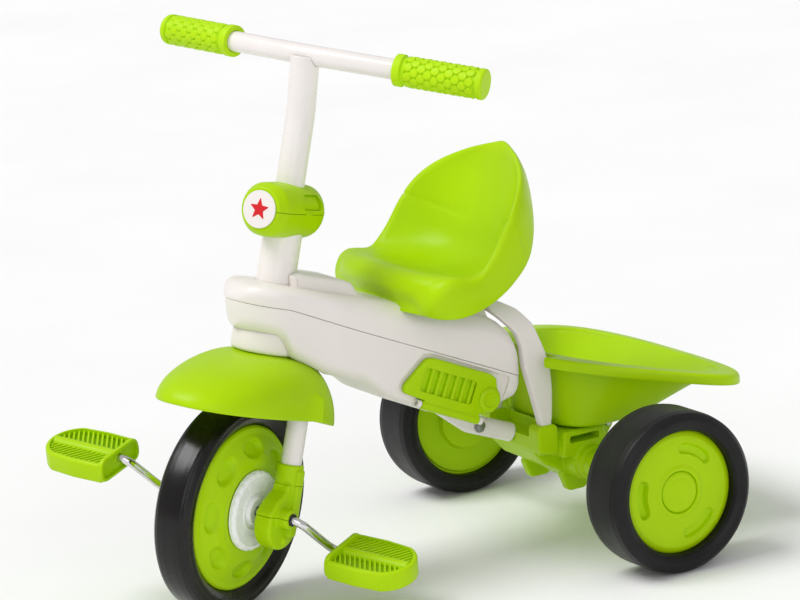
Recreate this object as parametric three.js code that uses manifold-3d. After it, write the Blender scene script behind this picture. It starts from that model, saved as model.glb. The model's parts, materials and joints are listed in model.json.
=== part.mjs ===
// A children's tricycle: a pedalled front wheel on a raked fork, a sloping plastic body over a
// steel spine, a bucket seat, two fold-down footrests, a tipping bucket and two wide rear wheels.
// Millimetres, +Z up. The front faces -Y and the rider's left is +X. The origin is on the ground
// at the middle of the overall box. Rest pose: handlebar and front wheel turned to the left.
import * as THREE from 'three';
import { mergeVertices } from 'three/addons/utils/BufferGeometryUtils.js';
import Module from 'manifold-3d';

const wasm = await Module();
wasm.setup();

// ---------- driving dimensions ----------
const GAP = 0.3;                                  // clearance between touching pieces
const WALL = 3;                                   // wall of the moulded shells
const AXLE_Y = 192.7;                              // rear axle, from the origin

const RAKE = THREE.MathUtils.degToRad(15.43);     // lean of the steering axis
const STEER = THREE.MathUtils.degToRad(27.6);     // turn of the fork at rest
const STEER_FOOT_Y = -426.8;                      // steering axis at the ground, from the rear axle
const FORK_LIFT = 1.2;                            // lets the leaning front tyre just touch the ground

const FRONT_R = 115.2;
const FRONT_HALF_WIDTH = 22;
const FRONT_RIM_R = 88.6;
const HUB_Y = -21.2;                              // front hub in the fork's frame
const HUB_Z = 113.7;

const REAR_R = 87.5;
const REAR_HALF_WIDTH = 33;
const REAR_RIM_R = 66.6;
const REAR_MID_X = 215.4;                         // middle plane of each rear wheel

const LEG_X = 53.4;                               // fork legs
const LEG_R = 11;
const STEERER_R = 21;                             // lower steering tube
const STEM_R = 15.5;                              // upper stem
const BAR_Z = 593;                                // handlebar height along the steering axis
const BAR_HALF = 202.5;                           // handlebar, middle to grip end
const BAR_R = 11;
const GRIP_R = 16.5;
const GRIP_FROM = 103;
const BAR_SWEEP = THREE.MathUtils.degToRad(10.4); // each half swept back
const COLLAR_Z = 427;

const AXLE_R = 4.5;                               // crank axle and pedal spindles
const THROW_Y = 54.8;                             // crank throw at rest, in the fork's frame
const THROW_Z = -30.2;
const PEDAL_IN = 110;                             // pedal, inner and outer end
const PEDAL_OUT = 200;
const PEDAL_TILT = THREE.MathUtils.degToRad(24);

const BODY_HALF = 56;                             // half width of the body
const NOSE_R = 50;
const TOP_SLOPE = 0.318;                          // fall of the body's top per mm towards the rear
const SEAM_SLOPE = 0.457;
const SEAM_ANGLE = Math.atan(SEAM_SLOPE);

const REAR_AXLE_R = 5;
const SEAT_HALF = 112;
const SEAT_SKIN = 9;
const SEAT_SKIRT = 35;                            // extra depth of the turned-down edge

// ---------- colours ----------
const finish = (color, roughness, metalness = 0) =>
  new THREE.MeshStandardMaterial({ color, roughness, metalness });
const GREEN = finish(0xa5cd00, 0.35);
const GRIP_GREEN = finish(0xb0de00, 0.6);
const WHITE = finish(0xf0ecea, 0.35);
const PAINT = finish(0xefebe9, 0.3);
const TYRE = finish(0x232323, 0.5);
const HUB_GREY = finish(0xd7d7dc, 0.35);
const CHROME = finish(0xc8c8cc, 0.15, 1);
const STEEL = finish(0x9a9a9a, 0.4, 1);
const NYLON = finish(0x303030, 0.5);

// ---------- geometry helpers ----------
const deg = THREE.MathUtils.degToRad;
const v2 = (x, y) => new THREE.Vector2(x, y);
const v3 = (x, y, z) => new THREE.Vector3(x, y, z);

// Makes a manifold solid from one closed three.js geometry.
function solid(geometry) {
  const bare = geometry.clone();
  for (const name of Object.keys(bare.attributes)) {
    if (name !== 'position') bare.deleteAttribute(name);
  }
  const merged = mergeVertices(bare, 1e-4);
  const tris = [];
  const index = merged.index.array;
  for (let i = 0; i < index.length; i += 3) {
    const [a, b, c] = [index[i], index[i + 1], index[i + 2]];
    if (a !== b && b !== c && c !== a) tris.push(a, b, c);
  }
  const mesh = new wasm.Mesh({
    numProp: 3,
    vertProperties: new Float32Array(merged.attributes.position.array),
    triVerts: new Uint32Array(tris),
  });
  return new wasm.Manifold(mesh);
}

// Gives a manifold solid back as a three.js geometry.
function geometryOf(body) {
  const mesh = body.getMesh();
  const geometry = new THREE.BufferGeometry();
  geometry.setAttribute('position', new THREE.BufferAttribute(new Float32Array(mesh.vertProperties), 3));
  geometry.setIndex(new THREE.BufferAttribute(new Uint32Array(mesh.triVerts), 1));
  geometry.computeVertexNormals();
  return geometry;
}

// Drops points that repeat the one before.
const clean = (outline) => outline.filter((p, i) => p.distanceTo(outline.at(i - 1)) > 1e-3);

const extruded = (outline, depth) =>
  new THREE.ExtrudeGeometry(new THREE.Shape(clean(outline)), { depth, bevelEnabled: false });

// Extrudes an outline drawn in (Y, Z) from x0 to x1.
function sideways(outline, x0, x1) {
  const g = extruded(outline, x1 - x0);
  g.applyMatrix4(new THREE.Matrix4().makeBasis(v3(0, 1, 0), v3(0, 0, 1), v3(1, 0, 0)));
  return g.translate(x0, 0, 0);
}

// Extrudes an outline drawn in (X, Y) from z0 to z1.
function upright(outline, z0, z1) {
  return extruded(outline, z1 - z0).translate(0, 0, z0);
}

// Extrudes an outline drawn in (X, Z) from y0 to y1.
function lengthways(outline, y0, y1) {
  const g = extruded(outline, y1 - y0);
  g.applyMatrix4(new THREE.Matrix4().makeBasis(v3(1, 0, 0), v3(0, 0, 1), v3(0, -1, 0)));
  return g.translate(0, y1, 0);
}

// Turns a closed (radius, axial) profile about the Z axis.
function turned(profile, segments = 24) {
  const points = profile.map(([r, z]) => v2(r, z));
  if (THREE.ShapeUtils.isClockWise(points)) points.reverse();
  const g = new THREE.LatheGeometry([...points, points[0]], segments);
  return g.rotateX(Math.PI / 2);
}

// The same, with the axis along X.
const turnedX = (profile, segments) => turned(profile, segments).rotateY(Math.PI / 2);

const rod = (radius, z0, z1, segments = 20) =>
  turned([[0, z0], [radius, z0], [radius, z1], [0, z1]], segments);
const rodX = (radius, x0, x1, segments = 20) => rod(radius, x0, x1, segments).rotateY(Math.PI / 2);
const ring = (inner, outer, z0, z1, segments = 20) =>
  turned([[inner, z0], [outer, z0], [outer, z1], [inner, z1]], segments);
const ringX = (inner, outer, x0, x1, segments) => ring(inner, outer, x0, x1, segments).rotateY(Math.PI / 2);

// A route of straight runs and rounded bends, stepped only where it turns.
class Route extends THREE.Curve {
  constructor(points, bend) {
    super();
    this.knots = [points[0]];
    for (let i = 1; i < points.length - 1; i += 1) {
      const corner = points[i];
      const before = corner.clone().add(points[i - 1].clone().sub(corner).setLength(bend));
      const after = corner.clone().add(points[i + 1].clone().sub(corner).setLength(bend));
      const curve = new THREE.QuadraticBezierCurve3(before, corner, after);
      this.knots.push(...curve.getPoints(3));
    }
    this.knots.push(points.at(-1));
  }

  getUtoTmapping(u) {
    return u;
  }

  getPoint(t, target = new THREE.Vector3()) {
    const last = this.knots.length - 1;
    const i = Math.min(Math.floor(t * last), last - 1);
    return target.lerpVectors(this.knots[i], this.knots[i + 1], t * last - i);
  }
}

// A round tube or rod whose bends between straight runs are rounded to the given size.
function bent(points, radius, bend, quarter = 3) {
  const route = new Route(points, bend);
  const section = new THREE.Shape();
  section.absarc(0, 0, radius, 0, Math.PI * 2);
  return new THREE.ExtrudeGeometry(section, {
    extrudePath: route, steps: route.knots.length - 1, curveSegments: quarter * 2, bevelEnabled: false,
  });
}

// Joins rings of points, first to last, and closes both ends with fans. Rings turn anticlockwise
// seen from the side they advance to.
function loft(rings) {
  const count = rings[0].length;
  const positions = [];
  for (const points of rings) {
    for (const p of points) positions.push(p.x, p.y, p.z);
  }
  const index = [];
  for (let k = 0; k < rings.length - 1; k += 1) {
    for (let i = 0; i < count; i += 1) {
      const j = (i + 1) % count;
      const [a, b, c, d] = [k * count + i, k * count + j, (k + 1) * count + j, (k + 1) * count + i];
      index.push(a, b, c, a, c, d);
    }
  }
  const fan = (points, start, flip) => {
    const middle = points.reduce((sum, p) => sum.add(p), v3(0, 0, 0)).divideScalar(count);
    const hub = positions.length / 3;
    positions.push(middle.x, middle.y, middle.z);
    for (let i = 0; i < count; i += 1) {
      const j = (i + 1) % count;
      if (flip) index.push(hub, start + j, start + i);
      else index.push(hub, start + i, start + j);
    }
  };
  fan(rings[0], 0, true);
  fan(rings.at(-1), (rings.length - 1) * count, false);
  const g = new THREE.BufferGeometry();
  g.setAttribute('position', new THREE.Float32BufferAttribute(positions, 3));
  g.setIndex(index);
  return g;
}

// Closes the space between two sheets given as functions of (u, v), each from 0 to 1.
function slab(over, under, nu, nv) {
  const positions = [];
  const at = (layer, i, j) => layer * (nu + 1) * (nv + 1) + j * (nu + 1) + i;
  for (const sheet of [over, under]) {
    for (let j = 0; j <= nv; j += 1) {
      for (let i = 0; i <= nu; i += 1) {
        const p = sheet(i / nu, j / nv);
        positions.push(p.x, p.y, p.z);
      }
    }
  }
  const index = [];
  const quad = (a, b, c, d) => index.push(a, b, c, a, c, d);
  for (let j = 0; j < nv; j += 1) {
    for (let i = 0; i < nu; i += 1) {
      quad(at(0, i, j), at(0, i + 1, j), at(0, i + 1, j + 1), at(0, i, j + 1));
      quad(at(1, i, j), at(1, i, j + 1), at(1, i + 1, j + 1), at(1, i + 1, j));
    }
  }
  for (let i = 0; i < nu; i += 1) {
    quad(at(0, i + 1, 0), at(0, i, 0), at(1, i, 0), at(1, i + 1, 0));
    quad(at(0, i, nv), at(0, i + 1, nv), at(1, i + 1, nv), at(1, i, nv));
  }
  for (let j = 0; j < nv; j += 1) {
    quad(at(0, 0, j), at(0, 0, j + 1), at(1, 0, j + 1), at(1, 0, j));
    quad(at(0, nu, j + 1), at(0, nu, j), at(1, nu, j), at(1, nu, j + 1));
  }
  const g = new THREE.BufferGeometry();
  g.setAttribute('position', new THREE.Float32BufferAttribute(positions, 3));
  g.setIndex(index);
  return g;
}

// Moves every edge of an anticlockwise outline inwards by d.
function inset(outline, d) {
  return outline.map((p, i) => {
    const before = outline.at(i - 1);
    const after = outline[(i + 1) % outline.length];
    const a = p.clone().sub(before).normalize();
    const b = after.clone().sub(p).normalize();
    const na = v2(-a.y, a.x);
    const nb = v2(-b.y, b.x);
    const scale = d / (1 + na.dot(nb));
    return v2(p.x + (na.x + nb.x) * scale, p.y + (na.y + nb.y) * scale);
  });
}

// Points on an arc, both ends included.
function arc(cx, cy, r, from, to, steps) {
  return Array.from({ length: steps + 1 }, (_, i) => {
    const t = deg(from + (to - from) * i / steps);
    return v2(cx + r * Math.cos(t), cy + r * Math.sin(t));
  });
}

// Rounded rectangle outline, anticlockwise.
function roundedBox(x0, y0, x1, y1, r, steps = 4) {
  return [
    ...arc(x1 - r, y0 + r, r, -90, 0, steps), ...arc(x1 - r, y1 - r, r, 0, 90, steps),
    ...arc(x0 + r, y1 - r, r, 90, 180, steps), ...arc(x0 + r, y0 + r, r, 180, 270, steps),
  ];
}

// A solid made on the rider's left, or its mirror image on the right.
const sided = (body, side) => (side > 0 ? body : body.mirror([1, 0, 0]));

const withSign = (value, power) => Math.sign(value) * Math.abs(value) ** power;

// ---------- groups ----------
const tricycle = new THREE.Group();
tricycle.position.y = AXLE_Y;
const head = new THREE.Group();                   // fixed parts on the steering axis
head.position.set(0, STEER_FOOT_Y, FORK_LIFT);
head.rotation.x = -RAKE;
const fork = new THREE.Group();                   // parts that turn with the steering
fork.position.set(0, STEER_FOOT_Y, FORK_LIFT);
fork.rotation.set(-RAKE, 0, STEER);
tricycle.add(head, fork);

function add(group, name, geometry, material) {
  const mesh = new THREE.Mesh(geometry instanceof wasm.Manifold ? geometryOf(geometry) : geometry, material);
  mesh.name = name;
  group.add(mesh);
  return mesh;
}

// ---------- handlebar and stem ----------
const BAR_Y = -8;                                 // bar's middle, ahead of the steering axis
const TUBE_WALL = 1.5;
const onBar = (x) => v3(x, BAR_Y + Math.abs(x) * Math.tan(BAR_SWEEP), BAR_Z);
const barPiece = (reach, radius) => solid(bent([onBar(-reach), onBar(0), onBar(reach)], radius, 26));

function handlebar() {
  const reach = (BAR_HALF - 6) * Math.cos(BAR_SWEEP);
  add(fork, 'handlebar_tube', barPiece(reach, BAR_R).subtract(barPiece(reach + 9, BAR_R - TUBE_WALL)), PAINT);

  const stem = solid(bent([v3(0, 0, 332), v3(0, 0, 530), v3(0, BAR_Y, BAR_Z)], STEM_R, 22, 4));
  const bore = solid(bent([v3(0, 0, 325), v3(0, 0, 470), v3(0, 0, 520)], STEM_R - TUBE_WALL, 8));
  const saddle = barPiece(60, BAR_R + 2 * GAP);
  const above = solid(new THREE.BoxGeometry(60, 60, 40).translate(0, 0, BAR_Z + 20));
  add(fork, 'upper_stem', stem.subtract(bore).subtract(saddle).subtract(above), PAINT);
}

function grips() {
  const length = BAR_HALF - GRIP_FROM;
  const bore = BAR_R + GAP;
  const profile = [
    [bore, 0], [GRIP_R + 0.6, 0], [GRIP_R + 0.6, 9], [GRIP_R - 0.9, 10.5], [GRIP_R, 12], [GRIP_R, length - 2],
    [GRIP_R - 3, length], [0, length], [0, length - 5], [bore, length - 5],
  ];
  for (const [name, turn] of [['left', BAR_SWEEP], ['right', Math.PI - BAR_SWEEP]]) {
    const grip = turnedX(profile, 16).translate(GRIP_FROM, 0, 0).rotateZ(turn).translate(0, BAR_Y, BAR_Z);
    add(fork, `grip_${name}`, grip, GRIP_GREEN);
  }
}

// ---------- clamp collar with its release button ----------
const COLLAR_FRONT = -54;
const COLLAR_R = 29.5;
const BUTTON = { y0: 3, y1: 27, z0: 431, z1: 446 };

// The collar's outside, a barrel along Y with a flat top and bottom, moved in by d.
function collarBarrel(d) {
  const r = COLLAR_R - d;
  const front = COLLAR_FRONT + d;
  const profile = [
    [0, front], [22 - d, front], [24.5 - d, front + 2], [r - 1.5, -38], [r, -20], [r, 12],
    [r - 2, 27], [r - 8, 38 - d], [r - 16, 43 - d], [0, 43 - d],
  ];
  const barrel = solid(turned(profile, 20).rotateX(-Math.PI / 2).translate(0, 0, COLLAR_Z));
  const flats = solid(new THREE.BoxGeometry(80, 140, 2 * (27.5 - d)).translate(0, 0, COLLAR_Z));
  return barrel.intersect(flats);
}

function collar() {
  const shell = collarBarrel(0).subtract(collarBarrel(WALL));
  const slice = (z0, z1) => solid(new THREE.BoxGeometry(90, 140, z1 - z0).translate(0, 0, (z0 + z1) / 2));
  const stemHole = solid(rod(STEM_R + 0.5, COLLAR_Z, COLLAR_Z + 40));
  const tubeHole = solid(rod(STEERER_R + GAP, COLLAR_Z - 40, COLLAR_Z));
  const { y0, y1, z0, z1 } = BUTTON;
  const middle = v2((y0 + y1) / 2, (z0 + z1) / 2);
  const pocket = solid(new THREE.BoxGeometry(30, y1 - y0 + 1, z1 - z0 + 1).translate(33, middle.x, middle.y));
  const upper = shell.intersect(slice(COLLAR_Z + GAP / 2, COLLAR_Z + 40)).subtract(stemHole).subtract(pocket);
  add(fork, 'collar_upper', upper, GREEN);
  const lower = shell.intersect(slice(COLLAR_Z - 40, COLLAR_Z - GAP / 2)).subtract(tubeHole);
  add(fork, 'collar_lower', lower, GREEN);
  const badge = ring(0, 20.5, 0, 1.6).rotateX(Math.PI / 2).translate(0, COLLAR_FRONT - GAP, COLLAR_Z);
  add(fork, 'badge_disc', badge, WHITE);

  const skin = solid(rod(COLLAR_R - 0.1, -40, 40, 32).rotateX(-Math.PI / 2).translate(0, 0, COLLAR_Z));
  const button = solid(sideways(roundedBox(y0, z0, y1, z1, 4, 3), 24.5, 30)).intersect(skin);
  add(fork, 'release_button', button, GREEN);
  const coil = spring(4, 0.6, 2.6, 2.5).rotateY(Math.PI / 2).translate(21.2, middle.x, middle.y);
  add(fork, 'button_spring', coil, STEEL);
}

function spring(radius, wire, height, turns) {
  class Helix extends THREE.Curve {
    getPoint(t, target = new THREE.Vector3()) {
      const a = t * turns * Math.PI * 2;
      return target.set(radius * Math.cos(a), radius * Math.sin(a), t * height);
    }
  }
  const section = new THREE.Shape();
  section.absarc(0, 0, wire, 0, Math.PI * 2);
  return new THREE.ExtrudeGeometry(section, {
    extrudePath: new Helix(), steps: 16, curveSegments: 3, bevelEnabled: false,
  });
}

// ---------- steering tube, crown and fork legs ----------
const CROWN_Z = 247;

function forkFrame() {
  add(fork, 'steerer_tube', ring(18, STEERER_R, CROWN_Z + 10 + GAP, 433.5), PAINT);
  add(fork, 'stem_bush', ring(STEM_R + 0.35, 17.7, 410, 433), NYLON);
  const plate = solid(upright(roundedBox(-LEG_X, -15, LEG_X, 15, 12), CROWN_Z, CROWN_Z + 10));
  add(fork, 'fork_crown', plate, PAINT);
  for (const [name, side] of [['left', 1], ['right', -1]]) {
    const leg = ring(LEG_R - TUBE_WALL, LEG_R, 126, CROWN_Z - GAP, 16).translate(side * LEG_X, 0, 0);
    add(fork, `fork_leg_${name}`, leg, PAINT);
  }
}

// ---------- front fender ----------
const FENDER = { front: 145, rear: 108, half: 74, low: 218, top: 276.5, neck: 34 };

// One level of the fender's dome, t from 0 at the rim to 1 at the flat top, moved in by d.
function fenderRing(t, d, z) {
  const f = FENDER;
  const grow = (full, p, q) => f.neck + (full - f.neck) * (1 - t ** p) ** (1 / q) - d;
  const [front, rear, half] = [grow(f.front, 1.9, 1.25), grow(f.rear, 1.5, 1.2), grow(f.half, 2.6, 1.8)];
  return Array.from({ length: 22 }, (_, i) => {
    const a = (i + 0.5) / 22 * Math.PI * 2;
    const x = half * withSign(Math.cos(a), 0.85);
    const y = (Math.sin(a) > 0 ? rear : front) * withSign(Math.sin(a), 0.85);
    const drop = (y > 0 ? -0.14 * y : -0.04 * y) * (1 - t);
    return v3(x, y, z + drop);
  });
}

function fender() {
  const f = FENDER;
  const levels = [0, 0.2, 0.5, 0.75, 0.9, 1];
  const skin = 2.6;
  const outer = levels.map((t) => fenderRing(t, 0, f.low + (f.top - f.low) * t));
  const inner = levels.map((t) => fenderRing(t, skin, f.low - 1 + (f.top - skin - f.low + 1) * t));
  const dome = solid(loft(outer)).subtract(solid(loft(inner)));
  const hole = solid(rod(STEERER_R + 0.6, 260, 290));
  add(fork, 'front_fender', dome.subtract(hole), GREEN);
}

// ---------- front axle blocks ----------
function axleBlocks() {
  const boss = [
    v2(14, 150), v2(-14, 150), v2(-15, 141), v2(-29, 131), v2(-38, 119), ...arc(-13, 106, 28, 180, 360, 12),
    v2(15, 125),
  ];
  for (const [name, side] of [['left', 1], ['right', -1]]) {
    const block = solid(sideways(boss, 43, 65))
      .add(solid(rod(14, 118, 168).translate(LEG_X, 0, 0)))
      .add(solid(new THREE.BoxGeometry(10, 13, 72).translate(65, -1, 128)))
      .add(solid(rodX(11, 55, 78, 16).translate(0, HUB_Y, HUB_Z)))
      .subtract(solid(rod(LEG_R + GAP, 125.5, 170, 16).translate(LEG_X, 0, 0)))
      .subtract(solid(rodX(7, 30, 90, 16).translate(0, HUB_Y, HUB_Z)));
    const cut = (z0, z1) => solid(new THREE.BoxGeometry(90, 120, z1 - z0).translate(60, 0, (z0 + z1) / 2));
    const upper = block.intersect(cut(HUB_Z + GAP / 2, 200));
    const lower = block.intersect(cut(40, HUB_Z - GAP / 2));
    const bush = solid(ringX(AXLE_R + GAP, 6.7, 41, 80, 16).translate(0, HUB_Y, HUB_Z));
    add(fork, `axle_block_${name}`, sided(upper, side), GREEN);
    add(fork, `axle_cap_${name}`, sided(lower, side), GREEN);
    add(fork, `axle_bush_${name}`, sided(bush, side), NYLON);
  }
}

// ---------- front wheel, crank and pedals ----------
const wheelGroup = new THREE.Group();
wheelGroup.position.set(0, HUB_Y, HUB_Z);
fork.add(wheelGroup);

const DIMPLES = 8;

function frontWheel() {
  const w = FRONT_HALF_WIDTH;
  const seat = FRONT_RIM_R + 2 * GAP;
  const tyre = [
    [seat, -15], [95, -w + 2], [108, -w], [112.5, -w + 3], [FRONT_R, -w + 9],
    [FRONT_R, w - 9], [112.5, w - 3], [108, w], [95, w - 2], [seat, 15],
  ];
  add(wheelGroup, 'front_tyre', turnedX(tyre, 36), TYRE);

  const cone = [
    [21, 0.3], [21, 21], [46, 26.5], [62, 23.5], [84, 16], [FRONT_RIM_R, 13.5], [FRONT_RIM_R, 0.3],
    [FRONT_RIM_R - WALL, 0.3], [FRONT_RIM_R - WALL, 11], [46, 23], [24, 18], [24, 0.3],
  ];
  let disc = solid(turnedX(cone));
  for (let i = 0; i < DIMPLES; i += 1) {
    const dimple = new THREE.SphereGeometry(1, 6, 4).scale(5, 15, 9).translate(27.5, 0, 66);
    disc = disc.subtract(solid(dimple.rotateX(2 * Math.PI * i / DIMPLES + 0.1)));
  }
  add(wheelGroup, 'front_disc_left', disc, GREEN);
  add(wheelGroup, 'front_disc_right', disc.mirror([1, 0, 0]), GREEN);
  add(wheelGroup, 'front_hub', ringX(AXLE_R + GAP, 20.7, -20, 20), HUB_GREY);

  const rim = [[6, 27], [43, 27], [43, 31], [40, 34.5], [37, 34.5], [34, 32]];
  add(wheelGroup, 'clutch_dial', turnedX([...rim, [20, 30.5], [16, 34], [6, 34]], 20), HUB_GREY);
  add(wheelGroup, 'hub_cover_right', turnedX([...rim, [20, 30.5], [6, 31.5]], 20).rotateY(Math.PI), HUB_GREY);
}

function crank() {
  const arm = (side) => [
    v3(side * 89, 0, 0),
    v3(side * 101, side * THROW_Y, side * THROW_Z),
    v3(side * (PEDAL_OUT - 8), side * THROW_Y, side * THROW_Z),
  ];
  const right = arm(-1).reverse();
  add(wheelGroup, 'crank_axle', bent([...right, ...arm(1)], AXLE_R, 8, 3), CHROME);
}

// A pedal with its spindle along X and its inner end at x = 0.
function pedalSolid() {
  const long = PEDAL_OUT - PEDAL_IN;
  const half = 33;
  const plan = [
    v2(0, -half), v2(38, -half - 1), ...arc(long - 36, 0, half + 1, -70, 70, 8), v2(38, half + 1),
    v2(0, half),
  ];
  const flange = roundedBox(-half - 2, -13, half + 2, 11, 5, 3);
  const rib = roundedBox(-half + 3, -8, half - 3, 3.5, 2, 2);
  const body = solid(upright(plan, -12, 6.5))
    .subtract(solid(upright(inset(plan, WALL), -20, 3.5)))
    .add(solid(sideways(flange, 0, 4.5)))
    .add(solid(sideways(rib, long / 2, long / 2 + 3)))
    .add(solid(rodX(8, 1, long - 3, 12)));
  return body.subtract(solid(rodX(AXLE_R + GAP, -5, long - 7, 12)));
}

function pedals() {
  for (const [name, side] of [['left', 1], ['right', -1]]) {
    const mesh = add(wheelGroup, `pedal_${name}`, sided(pedalSolid(), side), GREEN);
    mesh.position.set(side * PEDAL_IN, side * THROW_Y, side * THROW_Z);
    mesh.rotation.x = PEDAL_TILT;
  }
}

// ---------- head bearing ----------
function headBearing() {
  add(head, 'head_tube', ring(23, 26, 279, 345), PAINT);
  for (const [name, z] of [['lower', 281], ['upper', 325]]) {
    add(head, `head_bush_${name}`, ring(STEERER_R + GAP, 22.7, z, z + 18), NYLON);
  }
  const chin = [[26.5, 278], [36.5, 278], [36.5, 294], [34, 299], [29, 301.5], [26.5, 301.5]];
  add(head, 'head_collar', turned(chin), WHITE);
}

// ---------- body shells ----------
const NOSE_Y = -338;
const TAIL_Y = -71;
const topOf = (y) => 340 - TOP_SLOPE * (y + 330);
const RAIL_Z = 298;                               // level rail on the body that carries the seat

// Seam between the shells in side view.
const SEAM = [v2(-420, 341), v2(-343, 319.6), v2(-270, 285), v2(-195, 251), v2(-60, 190)];

// The body's outside, moved in by d: a side outline cut to its plan, a rounded roof and a rounded keel.
function bodyVolume(d) {
  const side = inset([
    v2(-96, 168), v2(-76, 176), v2(TAIL_Y, 200), v2(TAIL_Y, 230), v2(-79, 247), v2(-92, 260),
    v2(-112, topOf(-112)), v2(-330, topOf(-330)), v2(-370, 350), v2(-384, 344), v2(-394, 320), v2(-392, 305),
    v2(-384, 301), v2(-352, 292), v2(-347, 268), v2(-309, 243), v2(-262, 226), v2(-244, 206), v2(-184, 176),
    v2(-160, 170),
  ], d);
  const half = BODY_HALF - d;
  const plan = [
    v2(half, -280), ...arc(half - 14, TAIL_Y - 14 - d, 14, 0, 90, 3),
    ...arc(-half + 14, TAIL_Y - 14 - d, 14, 90, 180, 3), v2(-half, -280),
    ...arc(0, NOSE_Y, NOSE_R - d, 180, 360, 14),
  ];
  const shoulder = 24;
  const roof = [
    v2(-half, -220), v2(half, -220), ...arc(half - shoulder, -shoulder - d, shoulder, 0, 90, 4),
    ...arc(-half + shoulder, -shoulder - d, shoulder, 90, 180, 4),
  ];
  const middle = -240;
  const roofPrism = lengthways(roof, -260, 260).rotateX(-Math.atan(TOP_SLOPE))
    .translate(0, middle, topOf(middle) + 1);
  const chine = 16;
  const keel = [
    ...arc(half - chine, chine + d, chine, -90, 0, 3), v2(half, 260), v2(-half, 260),
    ...arc(-half + chine, chine + d, chine, 180, 270, 3),
  ];
  const keelPrism = lengthways(keel, -280, 280).rotateX(-Math.atan(0.5)).translate(0, middle, 196);
  return solid(sideways(side, -half, half))
    .intersect(solid(upright(plan, 100, 420)))
    .intersect(solid(roofPrism))
    .intersect(solid(keelPrism));
}

// Everything in the head's frame that has to clear the shells.
function steeringBore(radius, z0, z1) {
  const g = rod(radius, z0, z1);
  return solid(g.rotateX(-RAKE).translate(0, STEER_FOOT_Y, FORK_LIFT));
}

// The space that the head collar and the turning fender need.
function forkSweep() {
  const profile = [
    [0, 190], [112, 190], [112, 222], [95, 237], [76, 253], [64, 265.5], [52, 272], [37.3, 277.7],
    [37.3, 302], [0, 302],
  ];
  return solid(turned(profile).rotateX(-RAKE).translate(0, STEER_FOOT_Y, FORK_LIFT));
}

const BOLT_Y = -104;
const BOLT_Z = 137.8;
const SPINE = [v3(0, -59, 120), v3(0, -112, 141), v3(0, -165, 184), v3(0, -307, 292)];

const spineRun = (radius) => solid(bent(SPINE, radius, 20));

// All that lies above the seam raised by dz, or below it.
function seamHalf(dz, above) {
  const edge = SEAM.map((p) => v2(p.x, p.y + dz));
  const far = above ? 460 : 60;
  const front = -460;
  const tail = v2(0, SEAM.at(-1).y - 22 + dz);
  const outline = [v2(front, SEAM[0].y + dz), ...edge, tail, v2(0, far), v2(front, far)];
  return solid(sideways(above ? outline : outline.reverse(), -80, 80));
}

function bodyShells() {
  const inside = bodyVolume(WALL).subtract(footrestRecess(1, WALL)).subtract(footrestRecess(-1, WALL));
  const shell = bodyVolume(0).subtract(inside);
  const rail = [v2(-188, topOf(-188) - 1), v2(-119, topOf(-119) - 1), v2(-119, RAIL_Z), v2(-188, RAIL_Z)];
  const humpSide = [v2(-318, 330), v2(-240, 306), v2(-240, 311), v2(-254, 320), v2(-262, 330), v2(-318, 350)];
  const upper = shell.intersect(seamHalf(GAP / 2, true))
    .add(solid(sideways(humpSide, -30, 30)))
    .add(solid(sideways(rail, -24, 24)))
    .subtract(steeringBore(STEERER_R + 1, 300, 400));
  add(tricycle, 'body_upper', upper, WHITE);

  let lower = shell.intersect(seamHalf(-GAP / 2, false))
    .subtract(steeringBore(27, 270, 345))
    .subtract(forkSweep())
    .subtract(spineRun(12));
  for (const side of [1, -1]) {
    lower = lower.subtract(footrestRecess(side, 0)).add(hingeEars(side));
  }
  add(tricycle, 'body_lower', lower, WHITE);
  const boltHole = solid(rodX(3.2, -30, 30, 12).translate(0, BOLT_Y, BOLT_Z));
  add(tricycle, 'spine_tube', spineRun(10.5).subtract(spineRun(8.5)).subtract(boltHole), PAINT);
}

// ---------- footrests ----------
// Each lies in a frame with S down the seam's slope and T square to it.
const FOOT_AT = v3(0, -165, 200);
const toSide = (g) => g.rotateX(-SEAM_ANGLE).translate(0, FOOT_AT.y, FOOT_AT.z);

const FOOT_PANEL = [
  v2(-56, -17), v2(20, -21), v2(40, -18), ...arc(50, 1, 15, -80, 40, 6), v2(56, 16), v2(52, 25), v2(44, 28),
  v2(-30, 28), v2(-40, 25), v2(-57, -8),
];
const FOOT_X = BODY_HALF - 4;                     // inner face of a folded footrest
const FOOT_SLOTS = 6;
const HINGE_X = FOOT_X + 4.5;
const HINGE_T = -23.5;
const HINGE = { pin: 2, barrel: 5, from: -30, to: 46, ear: 4.7 };

// The pocket in the body's side that a folded footrest lies in, or the same grown by a wall.
function footrestRecess(side, wall) {
  const outline = [v2(-62, -30), v2(72, -30), v2(72, 31), v2(-32, 32), v2(-44, 29), v2(-62, -6)];
  const x0 = FOOT_X - 0.5 - wall;
  return sided(solid(toSide(sideways(wall ? inset(outline, -wall) : outline, x0, x0 + 24.5))), side);
}

// A round bar along the footrest's hinge line.
const hingeRod = (radius, s0, s1) =>
  solid(rod(radius, s0, s1, 12).rotateX(-Math.PI / 2).translate(HINGE_X, 0, HINGE_T));

// The two ears on the body that hold a footrest's pin.
function hingeEars(side) {
  let ears = null;
  for (const s0 of [HINGE.from - GAP - HINGE.ear, HINGE.to + GAP]) {
    const foot = new THREE.BoxGeometry(HINGE_X - FOOT_X + 2, HINGE.ear, 8.6);
    const tab = new THREE.BoxGeometry(2.4, HINGE.ear, 24);
    const s = s0 + HINGE.ear / 2;
    const ear = hingeRod(4.3, s0, s0 + HINGE.ear)
      .add(solid(foot.translate((HINGE_X + FOOT_X - 2) / 2, s, HINGE_T)))
      .add(solid(tab.translate(FOOT_X - 1.9, s, HINGE_T + 8)));
    ears = ears ? ears.add(ear) : ear;
  }
  const bored = ears.subtract(hingeRod(HINGE.pin + GAP, -60, 80));
  return solid(toSide(geometryOf(sided(bored, side))));
}

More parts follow.
